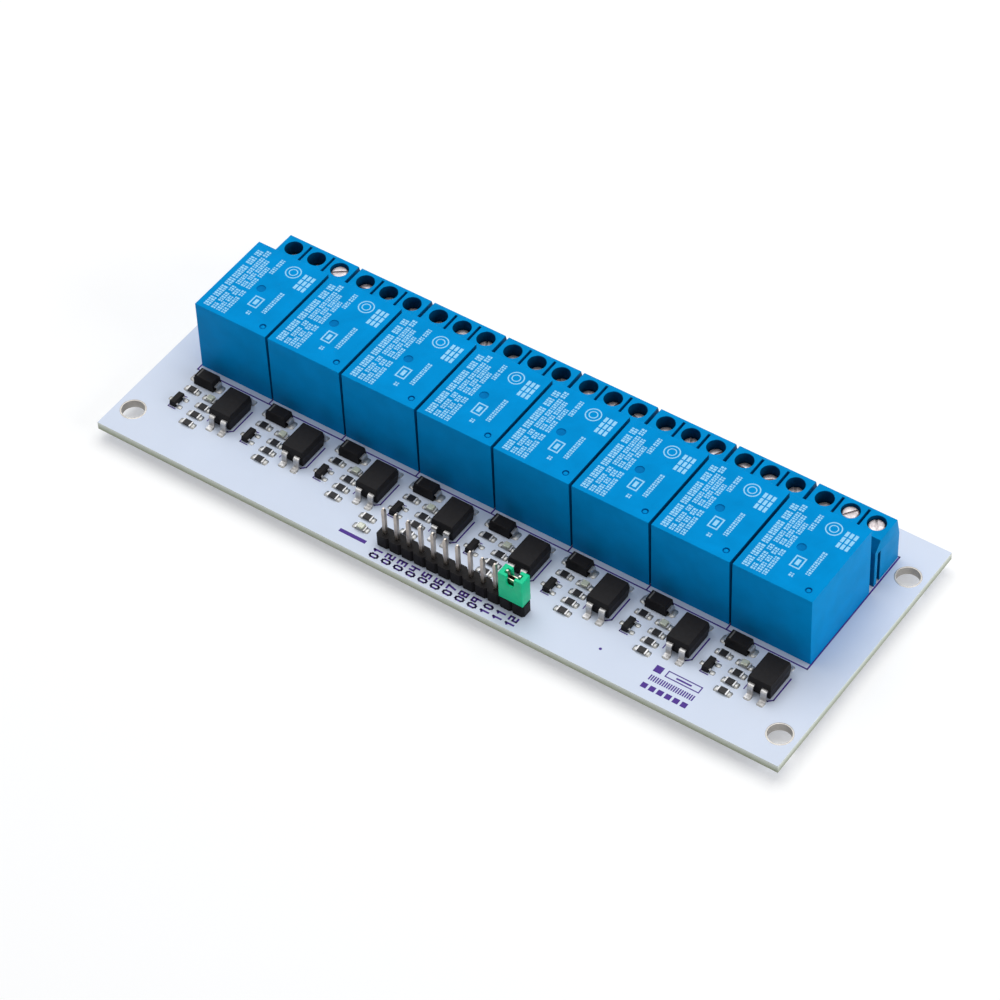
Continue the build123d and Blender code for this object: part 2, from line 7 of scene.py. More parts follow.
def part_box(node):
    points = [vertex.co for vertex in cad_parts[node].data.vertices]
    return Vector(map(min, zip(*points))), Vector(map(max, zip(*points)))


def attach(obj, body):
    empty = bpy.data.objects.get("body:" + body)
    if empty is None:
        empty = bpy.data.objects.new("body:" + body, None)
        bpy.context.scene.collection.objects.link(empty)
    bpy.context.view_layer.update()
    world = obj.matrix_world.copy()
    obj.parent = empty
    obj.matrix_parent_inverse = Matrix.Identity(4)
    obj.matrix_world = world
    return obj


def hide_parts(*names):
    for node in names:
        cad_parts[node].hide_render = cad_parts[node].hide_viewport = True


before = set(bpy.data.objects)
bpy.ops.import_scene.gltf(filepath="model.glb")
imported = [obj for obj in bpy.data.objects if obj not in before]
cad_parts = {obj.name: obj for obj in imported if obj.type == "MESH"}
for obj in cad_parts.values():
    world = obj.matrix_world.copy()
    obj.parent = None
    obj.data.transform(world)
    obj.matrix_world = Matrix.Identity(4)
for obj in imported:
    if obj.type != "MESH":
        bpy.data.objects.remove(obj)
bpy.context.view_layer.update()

# Units and the places that the pieces share, millimetres
MM = 0.001
ROOT = "board_assembly"
BOARD_LENGTH, BOARD_DEPTH, BOARD_THICKNESS = 140.5, 55.1, 1.6
TAIL_DROP = 2.0
BOARD_TOP = TAIL_DROP + BOARD_THICKNESS
BOARD_FRONT = -BOARD_DEPTH / 2
CHANNELS, CHANNEL_PITCH = 8, 15.875
RELAY_FRONT = BOARD_FRONT + 21.1
RELAY_WIDTH, RELAY_HEIGHT = 15.5, 15.5
RELAY_LENGTH = (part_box("relay_cases")[1][1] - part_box("relay_cases")[0][1]) / MM
HOLE_X, HOLE_FRONT, HOLE_BACK, HOLE_RADIUS = 66.9, BOARD_FRONT + 5.9, -BOARD_FRONT - 8.7, 2.15
RING_RADIUS = 2.4
BLOCK_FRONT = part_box("terminal_block_1")[0][1] / MM
BLOCK_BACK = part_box("terminal_block_1")[1][1] / MM
BLOCK_LENGTH, BLOCK_HEIGHT, WAY_PITCH, WAYS = 15.24, 10.2, 5.08, 3
WELL_RADIUS, WELL_OFFSET = 1.69, 4.6
WELL_Y = BLOCK_FRONT + WELL_OFFSET
HEADER_X, HEADER_Y, HEADER_PITCH, HEADER_WAYS = 2.83, BOARD_FRONT + 4.75, 2.54, 12
# How far the print stands above the board and above a cover
SILK_LIFT, PRINT_LIFT = 0.012, 0.008
CORNERS = ((-1, -1), (1, -1), (1, 1), (-1, 1))

def channel_x(channel):
    return (channel - (CHANNELS - 1) / 2) * CHANNEL_PITCH

def header_pin_x(way):
    return HEADER_X + (way - (HEADER_WAYS - 1) / 2) * HEADER_PITCH

# Materials: every one varies in colour, roughness and surface by its own nodes

def linear(red, green, blue):
    """A screen colour, 0 to 255, as the shader's linear values."""
    def one(value):
        share = value / 255
        return share / 12.92 if share <= 0.04045 else ((share + 0.055) / 1.055) ** 2.4
    return (one(red), one(green), one(blue), 1.0)

def scaled(color, factor):
    return tuple(min(1.0, channel * factor) for channel in color[:3]) + (1.0,)

def ramp(nodes, links, source, low, high, color_low, color_high):
    node = nodes.new("ShaderNodeValToRGB")
    node.color_ramp.elements[0].position = low
    node.color_ramp.elements[0].color = color_low
    node.color_ramp.elements[1].position = high
    node.color_ramp.elements[1].color = color_high
    links.new(source, node.inputs["Fac"])
    return node.outputs["Color"]

def noise(nodes, links, coordinate, scale, detail=3.0):
    node = nodes.new("ShaderNodeTexNoise")
    node.inputs["Scale"].default_value = scale
    node.inputs["Detail"].default_value = detail
    links.new(coordinate, node.inputs["Vector"])
    return node.outputs["Fac"]

def surface(name, color, rough, metallic=0.0, spread=0.06, mottle=900.0, grain=6000.0, bump=0.05,
            bump_distance=0.00002, rough_spread=0.06, coat=0.0, transmission=0.0, ior=1.5, specular=0.5,
            tint=(1.0, 1.0, 1.0)):
    """A surface whose colour, roughness and relief vary at the scale of the real finish."""
    material = bpy.data.materials.new(name)
    material.use_nodes = True
    nodes, links = material.node_tree.nodes, material.node_tree.links
    shader = nodes["Principled BSDF"]
    place = nodes.new("ShaderNodeTexCoord").outputs["Object"]
    mottled = noise(nodes, links, place, mottle)
    fine = noise(nodes, links, place, grain, 2.0)
    links.new(ramp(nodes, links, mottled, 0.3, 0.7, scaled(color, 1 - spread), scaled(color, 1 + spread)),
              shader.inputs["Base Color"])
    span = nodes.new("ShaderNodeMapRange")
    span.inputs["To Min"].default_value = max(0.02, rough - rough_spread)
    span.inputs["To Max"].default_value = min(1.0, rough + rough_spread)
    links.new(fine, span.inputs["Value"])
    links.new(span.outputs["Result"], shader.inputs["Roughness"])
    relief = nodes.new("ShaderNodeBump")
    relief.inputs["Strength"].default_value = bump
    relief.inputs["Distance"].default_value = bump_distance
    links.new(fine, relief.inputs["Height"])
    links.new(relief.outputs["Normal"], shader.inputs["Normal"])
    shader.inputs["Metallic"].default_value = metallic
    shader.inputs["Coat Weight"].default_value = coat
    shader.inputs["Transmission Weight"].default_value = transmission
    shader.inputs["IOR"].default_value = ior
    shader.inputs["Specular IOR Level"].default_value = specular
    shader.inputs["Specular Tint"].default_value = (*tint, 1.0)
    return material

def board_surface():
    """White solder mask on the flat faces and bare glass fibre on the cut edges, darker and greener downwards as
    painted shade.
    """
    material = surface("white_mask", linear(204, 213, 229), 0.42, spread=0.014, mottle=120.0, grain=2500.0,
                       bump=0.12, bump_distance=0.00003, rough_spread=0.05, specular=0.35)
    nodes, links = material.node_tree.nodes, material.node_tree.links
    shader = nodes["Principled BSDF"]
    painted = shader.inputs["Base Color"].links[0].from_socket
    place = nodes.new("ShaderNodeTexCoord").outputs["Object"]
    layers = nodes.new("ShaderNodeTexWave")
    layers.bands_direction = "Z"
    layers.inputs["Scale"].default_value = 900.0
    layers.inputs["Distortion"].default_value = 1.5
    links.new(place, layers.inputs["Vector"])
    height = nodes.new("ShaderNodeSeparateXYZ")
    links.new(place, height.inputs["Vector"])
    # Painted shade: the fibre's colour darkens with height towards the board's underside
    level = nodes.new("ShaderNodeMapRange")
    level.inputs["From Min"].default_value = TAIL_DROP * MM
    level.inputs["From Max"].default_value = BOARD_TOP * MM
    links.new(height.outputs["Z"], level.inputs["Value"])
    layers_and_painted_shade = nodes.new("ShaderNodeMath")
    layers_and_painted_shade.operation = "MULTIPLY_ADD"
    layers_and_painted_shade.inputs[1].default_value = 0.2
    links.new(layers.outputs["Fac"], layers_and_painted_shade.inputs[0])
    links.new(level.outputs["Result"], layers_and_painted_shade.inputs[2])
    fibre = ramp(nodes, links, layers_and_painted_shade.outputs[0], 0.1, 1.0, linear(130, 137, 106), linear(212, 218, 210))
    normal = nodes.new("ShaderNodeNewGeometry").outputs["Normal"]
    split = nodes.new("ShaderNodeSeparateXYZ")
    links.new(normal, split.inputs["Vector"])
    upright = nodes.new("ShaderNodeMath")
    upright.operation = "ABSOLUTE"
    links.new(split.outputs["Z"], upright.inputs[0])
    flat = nodes.new("ShaderNodeMath")
    flat.operation = "GREATER_THAN"
    flat.inputs[1].default_value = 0.5
    links.new(upright.outputs[0], flat.inputs[0])
    mix = nodes.new("ShaderNodeMix")
    mix.data_type = "RGBA"
    links.new(flat.outputs[0], mix.inputs["Factor"])
    links.new(fibre, mix.inputs[6])
    links.new(painted, mix.inputs[7])
    links.new(mix.outputs[2], shader.inputs["Base Color"])
    return material

def banded(name, color, dark, scale, rough, metallic):
    """Close bands, for wound wire."""
    material = surface(name, color, rough, metallic)
    nodes, links = material.node_tree.nodes, material.node_tree.links
    shader = nodes["Principled BSDF"]
    place = nodes.new("ShaderNodeTexCoord").outputs["Object"]
    wave = nodes.new("ShaderNodeTexWave")
    wave.bands_direction = "Z"
    wave.inputs["Scale"].default_value = scale
    links.new(place, wave.inputs["Vector"])
    links.new(ramp(nodes, links, wave.outputs["Fac"], 0.2, 0.8, dark, color), shader.inputs["Base Color"])
    relief = nodes.new("ShaderNodeBump")
    relief.inputs["Strength"].default_value = 0.6
    relief.inputs["Distance"].default_value = 0.00005
    links.new(wave.outputs["Fac"], relief.inputs["Height"])
    links.new(relief.outputs["Normal"], shader.inputs["Normal"])
    return material

BLUE_TINT = (0.12, 0.55, 1.0)
MASK = board_surface()
RELAY_BLUE = surface("relay_blue", linear(0, 138, 205), 0.42, spread=0.06, mottle=260.0, grain=4200.0,
                     bump=0.3, rough_spread=0.07, specular=0.03, tint=BLUE_TINT)
BLOCK_BLUE = surface("terminal_blue", linear(0, 136, 199), 0.38, spread=0.07, mottle=400.0, grain=3600.0,
                     bump=0.25, specular=0.035, tint=BLUE_TINT)
# Painted shade: a dark blue for the insides of the terminal wells, standing in for the shade deep in them
WELL_PAINTED_SHADE = surface("well_painted_shade", linear(0, 66, 104), 0.5, spread=0.2, mottle=900.0, grain=3600.0,
                    bump=0.3, specular=0.05, tint=BLUE_TINT)
# Painted shade: a darker blue for the slits, the groove, the blocks' front faces, the block ends that face a neighbour,
# and cover sides in the gaps between covers
GAP_PAINTED_SHADE = surface("gap_painted_shade", linear(0, 92, 142), 0.5, spread=0.1, mottle=900.0, grain=3600.0,
                    bump=0.3, specular=0.05, tint=BLUE_TINT)
# Painted shade: a darker blue inside the covers' two sunk marks
MARK_PAINTED_SHADE = surface("mark_painted_shade", linear(0, 112, 176), 0.5, spread=0.08, mottle=900.0, grain=3600.0,
                    bump=0.3, specular=0.05, tint=BLUE_TINT)
BLACK = surface("black_moulding", linear(19, 17, 18), 0.5, spread=0.25, mottle=1500.0, grain=9000.0,
                bump=0.35, rough_spread=0.1, specular=0.12)
GLAZE = surface("resistor_glaze", linear(20, 18, 20), 0.34, spread=0.2, mottle=2500.0, grain=9000.0, specular=0.22)
CERAMIC = surface("ceramic", linear(168, 167, 164), 0.55, spread=0.04, mottle=3000.0)
BAND = surface("printed_band", linear(96, 94, 92), 0.6, spread=0.12, mottle=3000.0, specular=0.2)
TIN = surface("tin", linear(176, 175, 175), 0.42, metallic=1.0, spread=0.2, mottle=1500.0, grain=5000.0,
              bump=0.25, rough_spread=0.12)
SOLDER = surface("solder", linear(158, 158, 156), 0.45, metallic=0.85, spread=0.2, mottle=2600.0, grain=5200.0,
                 bump=0.3, rough_spread=0.14)
PIN_METAL = surface("pin_metal", linear(176, 168, 160), 0.34, metallic=1.0, spread=0.14, mottle=800.0,
                    grain=7000.0, rough_spread=0.1)
NICKEL = surface("nickel", linear(176, 168, 169), 0.48, metallic=0.75, spread=0.26, mottle=1300.0, grain=4200.0,
                 bump=0.6, bump_distance=0.00004, rough_spread=0.16)
RING = surface("plated_ring", linear(172, 168, 162), 0.46, metallic=0.75, spread=0.1, mottle=700.0,
               grain=3000.0, bump=0.4, bump_distance=0.00003, rough_spread=0.14)
GOLDEN = surface("contact_metal", linear(196, 178, 140), 0.3, metallic=1.0, spread=0.08)
SPRING = surface("jumper_spring", linear(190, 186, 168), 0.28, metallic=1.0, spread=0.08)
IRON = surface("relay_iron", linear(176, 176, 178), 0.34, metallic=1.0, spread=0.05)
COPPER = banded("copper_wire", linear(168, 84, 40), linear(92, 40, 16), 1900.0, 0.32, 0.9)
BOBBIN = surface("bobbin_plastic", linear(226, 222, 206), 0.5, spread=0.03)
BASE_DARK = surface("relay_base_plastic", linear(30, 32, 38), 0.5, spread=0.08)
SILK = surface("purple_print", linear(66, 30, 130), 0.55, spread=0.12, mottle=2200.0, grain=7000.0, specular=0.3)
WHITE_PRINT = surface("white_print", linear(132, 197, 233), 0.5, spread=0.08, mottle=2600.0, grain=7000.0)
GREEN = surface("jumper_green", linear(16, 196, 140), 0.34, spread=0.06, mottle=900.0, grain=5200.0, specular=0.25,
                tint=(0.4, 1.0, 0.8))
LENS = surface("led_lens", linear(222, 226, 204), 0.12, spread=0.03, coat=0.6, transmission=0.35, ior=1.5)

def dress(node, *materials):
    """Give a carried-over node its material."""
    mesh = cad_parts[node].data
    mesh.materials.clear()
    for material in materials:
        mesh.materials.append(material)

# Mesh helpers

def circle(x, y, radius, sides):
    """Points round a circle."""
    angles = [2 * math.pi * i / sides for i in range(sides)]
    return [(x + radius * math.cos(angle), y + radius * math.sin(angle)) for angle in angles]

def octagon(half_x, half_y, cut):
    """A rectangle about the middle with its corners cut off."""
    return [(-half_x + cut, -half_y), (half_x - cut, -half_y), (half_x, -half_y + cut), (half_x, half_y - cut),
            (half_x - cut, half_y), (-half_x + cut, half_y), (-half_x, half_y - cut), (-half_x, -half_y + cut)]

def add_box(bm, low, high, material=0, width=0.0, segments=1):
    """A box between two corners, with rounded edges where a width is given."""
    verts = bmesh.ops.create_cube(bm, size=1.0)["verts"]
    size = Vector(high) - Vector(low)
    centre = (Vector(high) + Vector(low)) / 2
    for vert in verts:
        vert.co = Vector((vert.co.x * size.x, vert.co.y * size.y, vert.co.z * size.z)) + centre
    faces = list({face for vert in verts for face in vert.link_faces})
    for face in faces:
        face.material_index = material
    if width:
        edges = list({edge for vert in verts for edge in vert.link_edges})
        result = bmesh.ops.bevel(bm, geom=edges, offset=width, segments=segments, profile=0.5, affect="EDGES")
        faces = list({*result["faces"], *[face for face in faces if face.is_valid]})
    for face in faces:
        face.material_index = material
        face.smooth = bool(width)

def add_disc(bm, x, y, z, radius, sides, inner=0.0):
    """A thin flat disc or ring, facing up."""
    rings = [[(px, py, z) for px, py in circle(x, y, size, sides)] for size in (radius, inner) if size]
    add_loft(bm, rings, bottom=False, top=not inner)

def add_polygon(bm, points, z, material=0):
    """A flat face through the points, facing up."""
    face = bm.faces.new([bm.verts.new((x, y, z)) for x, y in points])
    face.normal_update()
    if face.normal.z < 0:
        face.normal_flip()
    face.material_index = material

def add_patch(bm, x_low, y_low, x_high, y_high, z):
    """A printed rectangle."""
    add_polygon(bm, [(x_low, y_low), (x_high, y_low), (x_high, y_high), (x_low, y_high)], z)

def add_line(bm, start, end, width, z, material=0):
    """A printed line with square ends."""
    first, last = Vector(start), Vector(end)
    along = (last - first).normalized() * width / 2
    across = Vector((-along.y, along.x))
    first, last = first - along, last + along
    points = [first - across, last - across, last + across, first + across]
    add_polygon(bm, [(point.x, point.y) for point in points], z, material)

def add_lathe(bm, x, y, profile, sides):
    """A turned form about an upright axis, from (radius, height) pairs."""
    rings = []
    for radius, z in profile:
        points = circle(x, y, radius, sides) if radius > 0 else [(x, y)]
        rings.append([bm.verts.new((px, py, z)) for px, py in points])
    for lower, upper in zip(rings, rings[1:]):
        for i in range(sides):
            j = (i + 1) % sides
            if len(lower) == 1:
                face = bm.faces.new((lower[0], upper[j], upper[i]))
            elif len(upper) == 1:
                face = bm.faces.new((lower[i], lower[j], upper[0]))
            else:
                face = bm.faces.new((lower[i], lower[j], upper[j], upper[i]))
            face.smooth = True

def add_loft(bm, rings, bottom=True, top=True, smooth=False):
    """A body through rings of corners, from the bottom up, with its ends closed where asked."""
    rings = [[bm.verts.new(corner) for corner in ring] for ring in rings]
    faces = []
    for lower, upper in zip(rings, rings[1:]):
        for i in range(len(lower)):
            j = (i + 1) % len(lower)
            faces.append(bm.faces.new((lower[i], lower[j], upper[j], upper[i])))
    if bottom:
        faces.append(bm.faces.new(rings[0][::-1]))
    if top:
        faces.append(bm.faces.new(rings[-1]))
    for face in faces:
        face.smooth = smooth

def add_extrusion(bm, points, axis, low, high):
    """A closed profile drawn along an axis: x for (y, z) points, y for (x, z) points, z for (x, y) points."""
    def place(point, value):
        a, b = point
        return {"x": (value, a, b), "y": (a, value, b), "z": (a, b, value)}[axis]
    near = [bm.verts.new(place(point, low)) for point in points]
    far = [bm.verts.new(place(point, high)) for point in points]
    faces = [bm.faces.new(near), bm.faces.new(far[::-1])]
    for i in range(len(points)):
        j = (i + 1) % len(points)
        faces.append(bm.faces.new((near[i], far[i], far[j], near[j])))
    bmesh.ops.recalc_face_normals(bm, faces=faces)

def mesh_from(bm, name):
    """A mesh in metres from a sketch in millimetres."""
    bmesh.ops.scale(bm, vec=(MM, MM, MM), verts=bm.verts)
    mesh = bpy.data.meshes.new(name)
    bm.to_mesh(mesh)
    bm.free()
    return mesh

def sketch(name, add, *sizes):
    """A mesh of one form, made by one of the helpers above."""
    bm = bmesh.new()
    add(bm, *sizes)
    return mesh_from(bm, name)

def piece(name, mesh, materials, body=ROOT, replaces=()):
    """A new object with its materials, riding on a body and standing for the nodes it replaces."""
    made = bpy.data.objects.new(name, mesh)
    bpy.context.scene.collection.objects.link(made)
    for material in materials:
        mesh.materials.append(material)
    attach(made, body)
    if replaces:
        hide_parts(*replaces)

def carved(name, solid, cutters, bevel, segments, angle, foot=None):
    """A mesh cut by others, with its sharp edges softened, except the foot that stands on the board."""
    body = bpy.data.objects.new(name + "_solid", solid)
    bpy.context.scene.collection.objects.link(body)
    made = [body]
    for number, cutter in enumerate(cutters):
        tool = bpy.data.objects.new(f"{name}_cut_{number}", cutter)
        bpy.context.scene.collection.objects.link(tool)
        made.append(tool)
        cut = body.modifiers.new(f"cut_{number}", "BOOLEAN")
        cut.operation = "DIFFERENCE"
        cut.solver = "EXACT"
        cut.object = tool
    soften = body.modifiers.new("soften", "BEVEL")
    soften.width = bevel * MM
    soften.segments = segments
    soften.limit_method = "ANGLE"
    soften.angle_limit = math.radians(angle)
    bpy.context.view_layer.update()
    graph = bpy.context.evaluated_depsgraph_get()
    mesh = bpy.data.meshes.new_from_object(body.evaluated_get(graph))
    mesh.name = name
    for item in made:
        data = item.data
        bpy.data.objects.remove(item)
        bpy.data.meshes.remove(data)
    mesh.materials.clear()
    mesh.polygons.foreach_set("material_index", [0] * len(mesh.polygons))
    if foot is not None:
        for vert in mesh.vertices:
            if vert.co.z < (foot + bevel * 1.02) * MM:
                vert.co.z = foot * MM
    return mesh

# Faces over this area, in square millimetres, stay flat
FLAT_AREA = 1.6

def shade_smooth_by_angle(mesh, degrees):
    """Smooth rounded edges and turned walls, where neighbours differ by less than the angle."""
    mesh.polygons.foreach_set("use_smooth", [face.area < FLAT_AREA * MM * MM for face in mesh.polygons])
    mesh.set_sharp_from_angle(angle=math.radians(degrees))

# Board: plated rings, solder under it, and print

# Pins under a relay, from the middle of its front edge
RELAY_TAILS = ((-6.0, 4.4), (6.0, 4.4), (0.0, 1.45), (-6.0, 16.6), (6.0, 16.6))
# Radii of the solder cones under the relays, the blocks and the header, and a cone as (share of radius, drop) pairs
RELAY_SOLDER, BLOCK_SOLDER, HEADER_SOLDER = 1.0, 1.15, 0.8
CONE = ((1.0, 0.0), (1.0, 0.04), (0.82, 0.22), (0.58, 0.7), (0.45, 1.15), (0.0, 1.25))
# How far a hole's plating stands off the hole's wall and past the board's faces, and its ring off those faces
PLATING, PLATING_LIFT, RING_LIFT = 0.03, 0.02, 0.03

def way_places():
    """Places of the 24 clamp screws."""
    return [(channel_x(channel) + (way - 1) * WAY_PITCH, WELL_Y)
            for channel in range(CHANNELS) for way in range(WAYS)]

def build_board():
    dress("circuit_board", MASK)
    inner = HOLE_RADIUS - PLATING
    bm = bmesh.new()
    for x in (-HOLE_X, HOLE_X):
        for y in (HOLE_FRONT, HOLE_BACK):
            add_lathe(bm, x, y, [(inner, TAIL_DROP - PLATING_LIFT), (inner, BOARD_TOP + PLATING_LIFT)], 48)
            for z, turn in ((BOARD_TOP + RING_LIFT, 1), (TAIL_DROP - RING_LIFT, -1)):
                add_lathe(bm, x, y, [(inner, z - turn * 0.01), (HOLE_RADIUS + PLATING, z),
                                     (RING_RADIUS - 0.04, z), (RING_RADIUS, z - turn * RING_LIFT)], 48)
    piece("mounting_rings", mesh_from(bm, "mounting_rings"), [RING])
    tails = [(channel_x(channel) + x, RELAY_FRONT + y, RELAY_SOLDER)
             for channel in range(CHANNELS) for x, y in RELAY_TAILS]
    tails += [(x, y, BLOCK_SOLDER) for x, y in way_places()]
    tails += [(header_pin_x(way), HEADER_Y, HEADER_SOLDER) for way in range(HEADER_WAYS)]
    bm = bmesh.new()
    for x, y, radius in tails:
        add_lathe(bm, x, y, [(radius * share, TAIL_DROP - drop) for share, drop in CONE], 18)
    piece("under_solder", mesh_from(bm, "under_solder"), [SOLDER])

# Strokes of the plain numbers, as corners of a 2 by 4 grid
STROKES = {
    "0": ((0.6, 0, 1.4, 0), (1.4, 0, 2, 0.8), (2, 0.8, 2, 3.2), (2, 3.2, 1.4, 4), (1.4, 4, 0.6, 4), (0.6, 4, 0, 3.2),
          (0, 3.2, 0, 0.8), (0, 0.8, 0.6, 0)),
    "1": ((1.2, 0, 1.2, 4), (1.2, 4, 0.4, 3.2)),
    "2": ((0, 4, 2, 4), (2, 4, 2, 2), (2, 2, 0, 2), (0, 2, 0, 0), (0, 0, 2, 0)),
    "3": ((0, 4, 2, 4), (2, 4, 2, 0), (2, 0, 0, 0), (0.5, 2, 2, 2)),
    "4": ((0, 4, 0, 2), (0, 2, 2, 2), (2, 4, 2, 0)),
    "5": ((2, 4, 0, 4), (0, 4, 0, 2), (0, 2, 2, 2), (2, 2, 2, 0), (2, 0, 0, 0)),
    "6": ((2, 4, 0, 4), (0, 4, 0, 0), (0, 0, 2, 0), (2, 0, 2, 2), (2, 2, 0, 2)),
    "7": ((0, 4, 2, 4), (2, 4, 1, 0)),
    "8": ((0, 0, 2, 0), (2, 0, 2, 4), (2, 4, 0, 4), (0, 4, 0, 0), (0, 2, 2, 2)),
    "9": ((2, 0, 2, 4), (2, 4, 0, 4), (0, 4, 0, 2), (0, 2, 2, 2)),
}

def add_number(bm, number, x, y, cell, width, z):
    """A plain number that reads along the board's depth, centred on a point."""
    digits = f"{number:02d}"
    step = 3.4 * cell
    start = y - (step * (len(digits) - 1) + 2 * cell) / 2
    for place, digit in enumerate(digits):
        for x0, y0, x1, y1 in STROKES[digit]:
            first = (x - (y0 - 2) * cell, start + place * step + x0 * cell)
            last = (x - (y1 - 2) * cell, start + place * step + x1 * cell)
            add_line(bm, first, last, width, z)

# Widths of the printed lines, and the lines by each optocoupler from the middle of its relay's front edge
LINE, SIDE_LINE, BACK_LINE, THIN_LINE = 0.28, 0.3, 0.24, 0.2
CHANNEL_LINES = (
    ((6.75, -4.4), (6.75, -9.8), LINE), ((6.75, -9.8), (6.0, -10.5), LINE), ((6.0, -10.5), (5.7, -10.5), LINE),
    ((1.35, -3.6), (1.35, -10.3), THIN_LINE), ((-6.75, -7.7), (-6.75, -8.3), THIN_LINE),
    ((-5.2, -7.7), (-6.75, -7.7), THIN_LINE), ((-5.2, -11.1), (-6.75, -11.1), THIN_LINE),
    ((-6.75, -11.1), (-6.75, -10.5), THIN_LINE),
)
# The corner of the plain shapes near the board's front, the dot, the bar by the power lamp, and the numbers' size
SHAPES_PLACE = (42.3, RELAY_FRONT - 15.3)
DOT_PLACE = (32.5, BOARD_FRONT + 5.0)
BAR_LEFT, BAR_RIGHT, BAR_Y, BAR_WIDTH = -19.2, -14.4, RELAY_FRONT - 18.25, 0.75
DIGIT_CELL, DIGIT_LINE, DIGIT_DROP = 0.37, 0.37, 2.95

def add_front_shapes(bm, left, base, z):
    """A square and an open bar, a band of even bars, and a row of blocks."""
    add_patch(bm, left, base, left + 1.5, base + 1.5, z)
    for low, high in ((base, base + 0.22), (base + 1.28, base + 1.5)):
        add_patch(bm, left + 2.3, low, left + 9.0, high, z)
    for low, high in ((left + 2.3, left + 2.52), (left + 8.78, left + 9.0)):
        add_patch(bm, low, base + 0.22, high, base + 1.28, z)
    add_patch(bm, left + 4.2, base + 0.55, left + 7.2, base + 0.9, z)
    for bar in range(20):
        place = left + 0.3 + bar * 0.44
        add_patch(bm, place, base - 1.95, place + 0.26, base - 0.75, z)
    for block in range(6):
        place = left + block * 1.55
        add_patch(bm, place, base - 3.9, place + 1.1, base - 2.8, z)

def build_print():
    """Purple lines round the relays and by the optocouplers, plain shapes, and plain numbers along the header."""
    bm = bmesh.new()
    z = BOARD_TOP + SILK_LIFT
    half = CHANNEL_PITCH / 2
    front, back = RELAY_FRONT - 1.15, BLOCK_BACK + 0.13
    left, right = channel_x(0) - half + 0.08, channel_x(CHANNELS - 1) + half - 0.08
    add_line(bm, (left, front), (right, front), LINE, z)
    for edge in (left, right):
        add_line(bm, (edge, front), (edge, back), SIDE_LINE, z)
    add_line(bm, (left, back), (right, back), BACK_LINE, z)
    for channel in range(CHANNELS - 1):
        x = channel_x(channel) + half
        add_line(bm, (x, front), (x, RELAY_FRONT + RELAY_LENGTH + 0.8), LINE, z)
    for channel in range(CHANNELS):
        x, y = channel_x(channel), RELAY_FRONT
        for start, end, width in CHANNEL_LINES:
            add_line(bm, (x + start[0], y + start[1]), (x + end[0], y + end[1]), width, z)
    add_front_shapes(bm, *SHAPES_PLACE, z)
    add_line(bm, (BAR_LEFT, BAR_Y), (BAR_RIGHT, BAR_Y), BAR_WIDTH, z)
    for way in range(HEADER_WAYS):
        add_number(bm, way + 1, header_pin_x(way), HEADER_Y - DIGIT_DROP, DIGIT_CELL, DIGIT_LINE, z)
    add_disc(bm, *DOT_PLACE, z, 0.28, 16)
    piece("board_print", mesh_from(bm, "board_print"), [SILK])

# Relays: how far each side of a cover leans in at its top, its wall, and its two sunk marks
COVER_DRAFT, COVER_WALL = 0.11, 0.8
GATE_MARK, GATE_RADIUS, GATE_DEPTH = (-0.15, 9.3), 0.85, 0.16
VENT_MARK, VENT_RADIUS, VENT_DEPTH = (5.75, 1.95), 0.62, 0.35
# The nub in the vent: the depth of its foot, and its (radius, height) pairs
NUB_DEPTH, NUB = 0.36, ((0.42, 0.0), (0.40, 0.22), (0.2, 0.30), (0.0, 0.31))

def cover_material_with_painted_shade(face, channel):
    """0 outside, 1 painted shade on the sides in the gaps between covers, 2 painted shade in the two sunk marks."""
    place = face.calc_center_median() / MM
    top = BOARD_TOP + RELAY_HEIGHT
    if abs(face.normal.x) > 0.9 and abs(place.x) > RELAY_WIDTH / 2 - 0.5:
        neighbour = channel + (1 if place.x > 0 else -1)
        return int(0 <= neighbour < CHANNELS)
    for (x, y), radius in ((GATE_MARK, GATE_RADIUS), (VENT_MARK, VENT_RADIUS)):
        if top - 0.4 < place.z < top - 0.04 and math.hypot(place.x - x, place.y - y) < radius + 0.02:
            return 2
    return 0

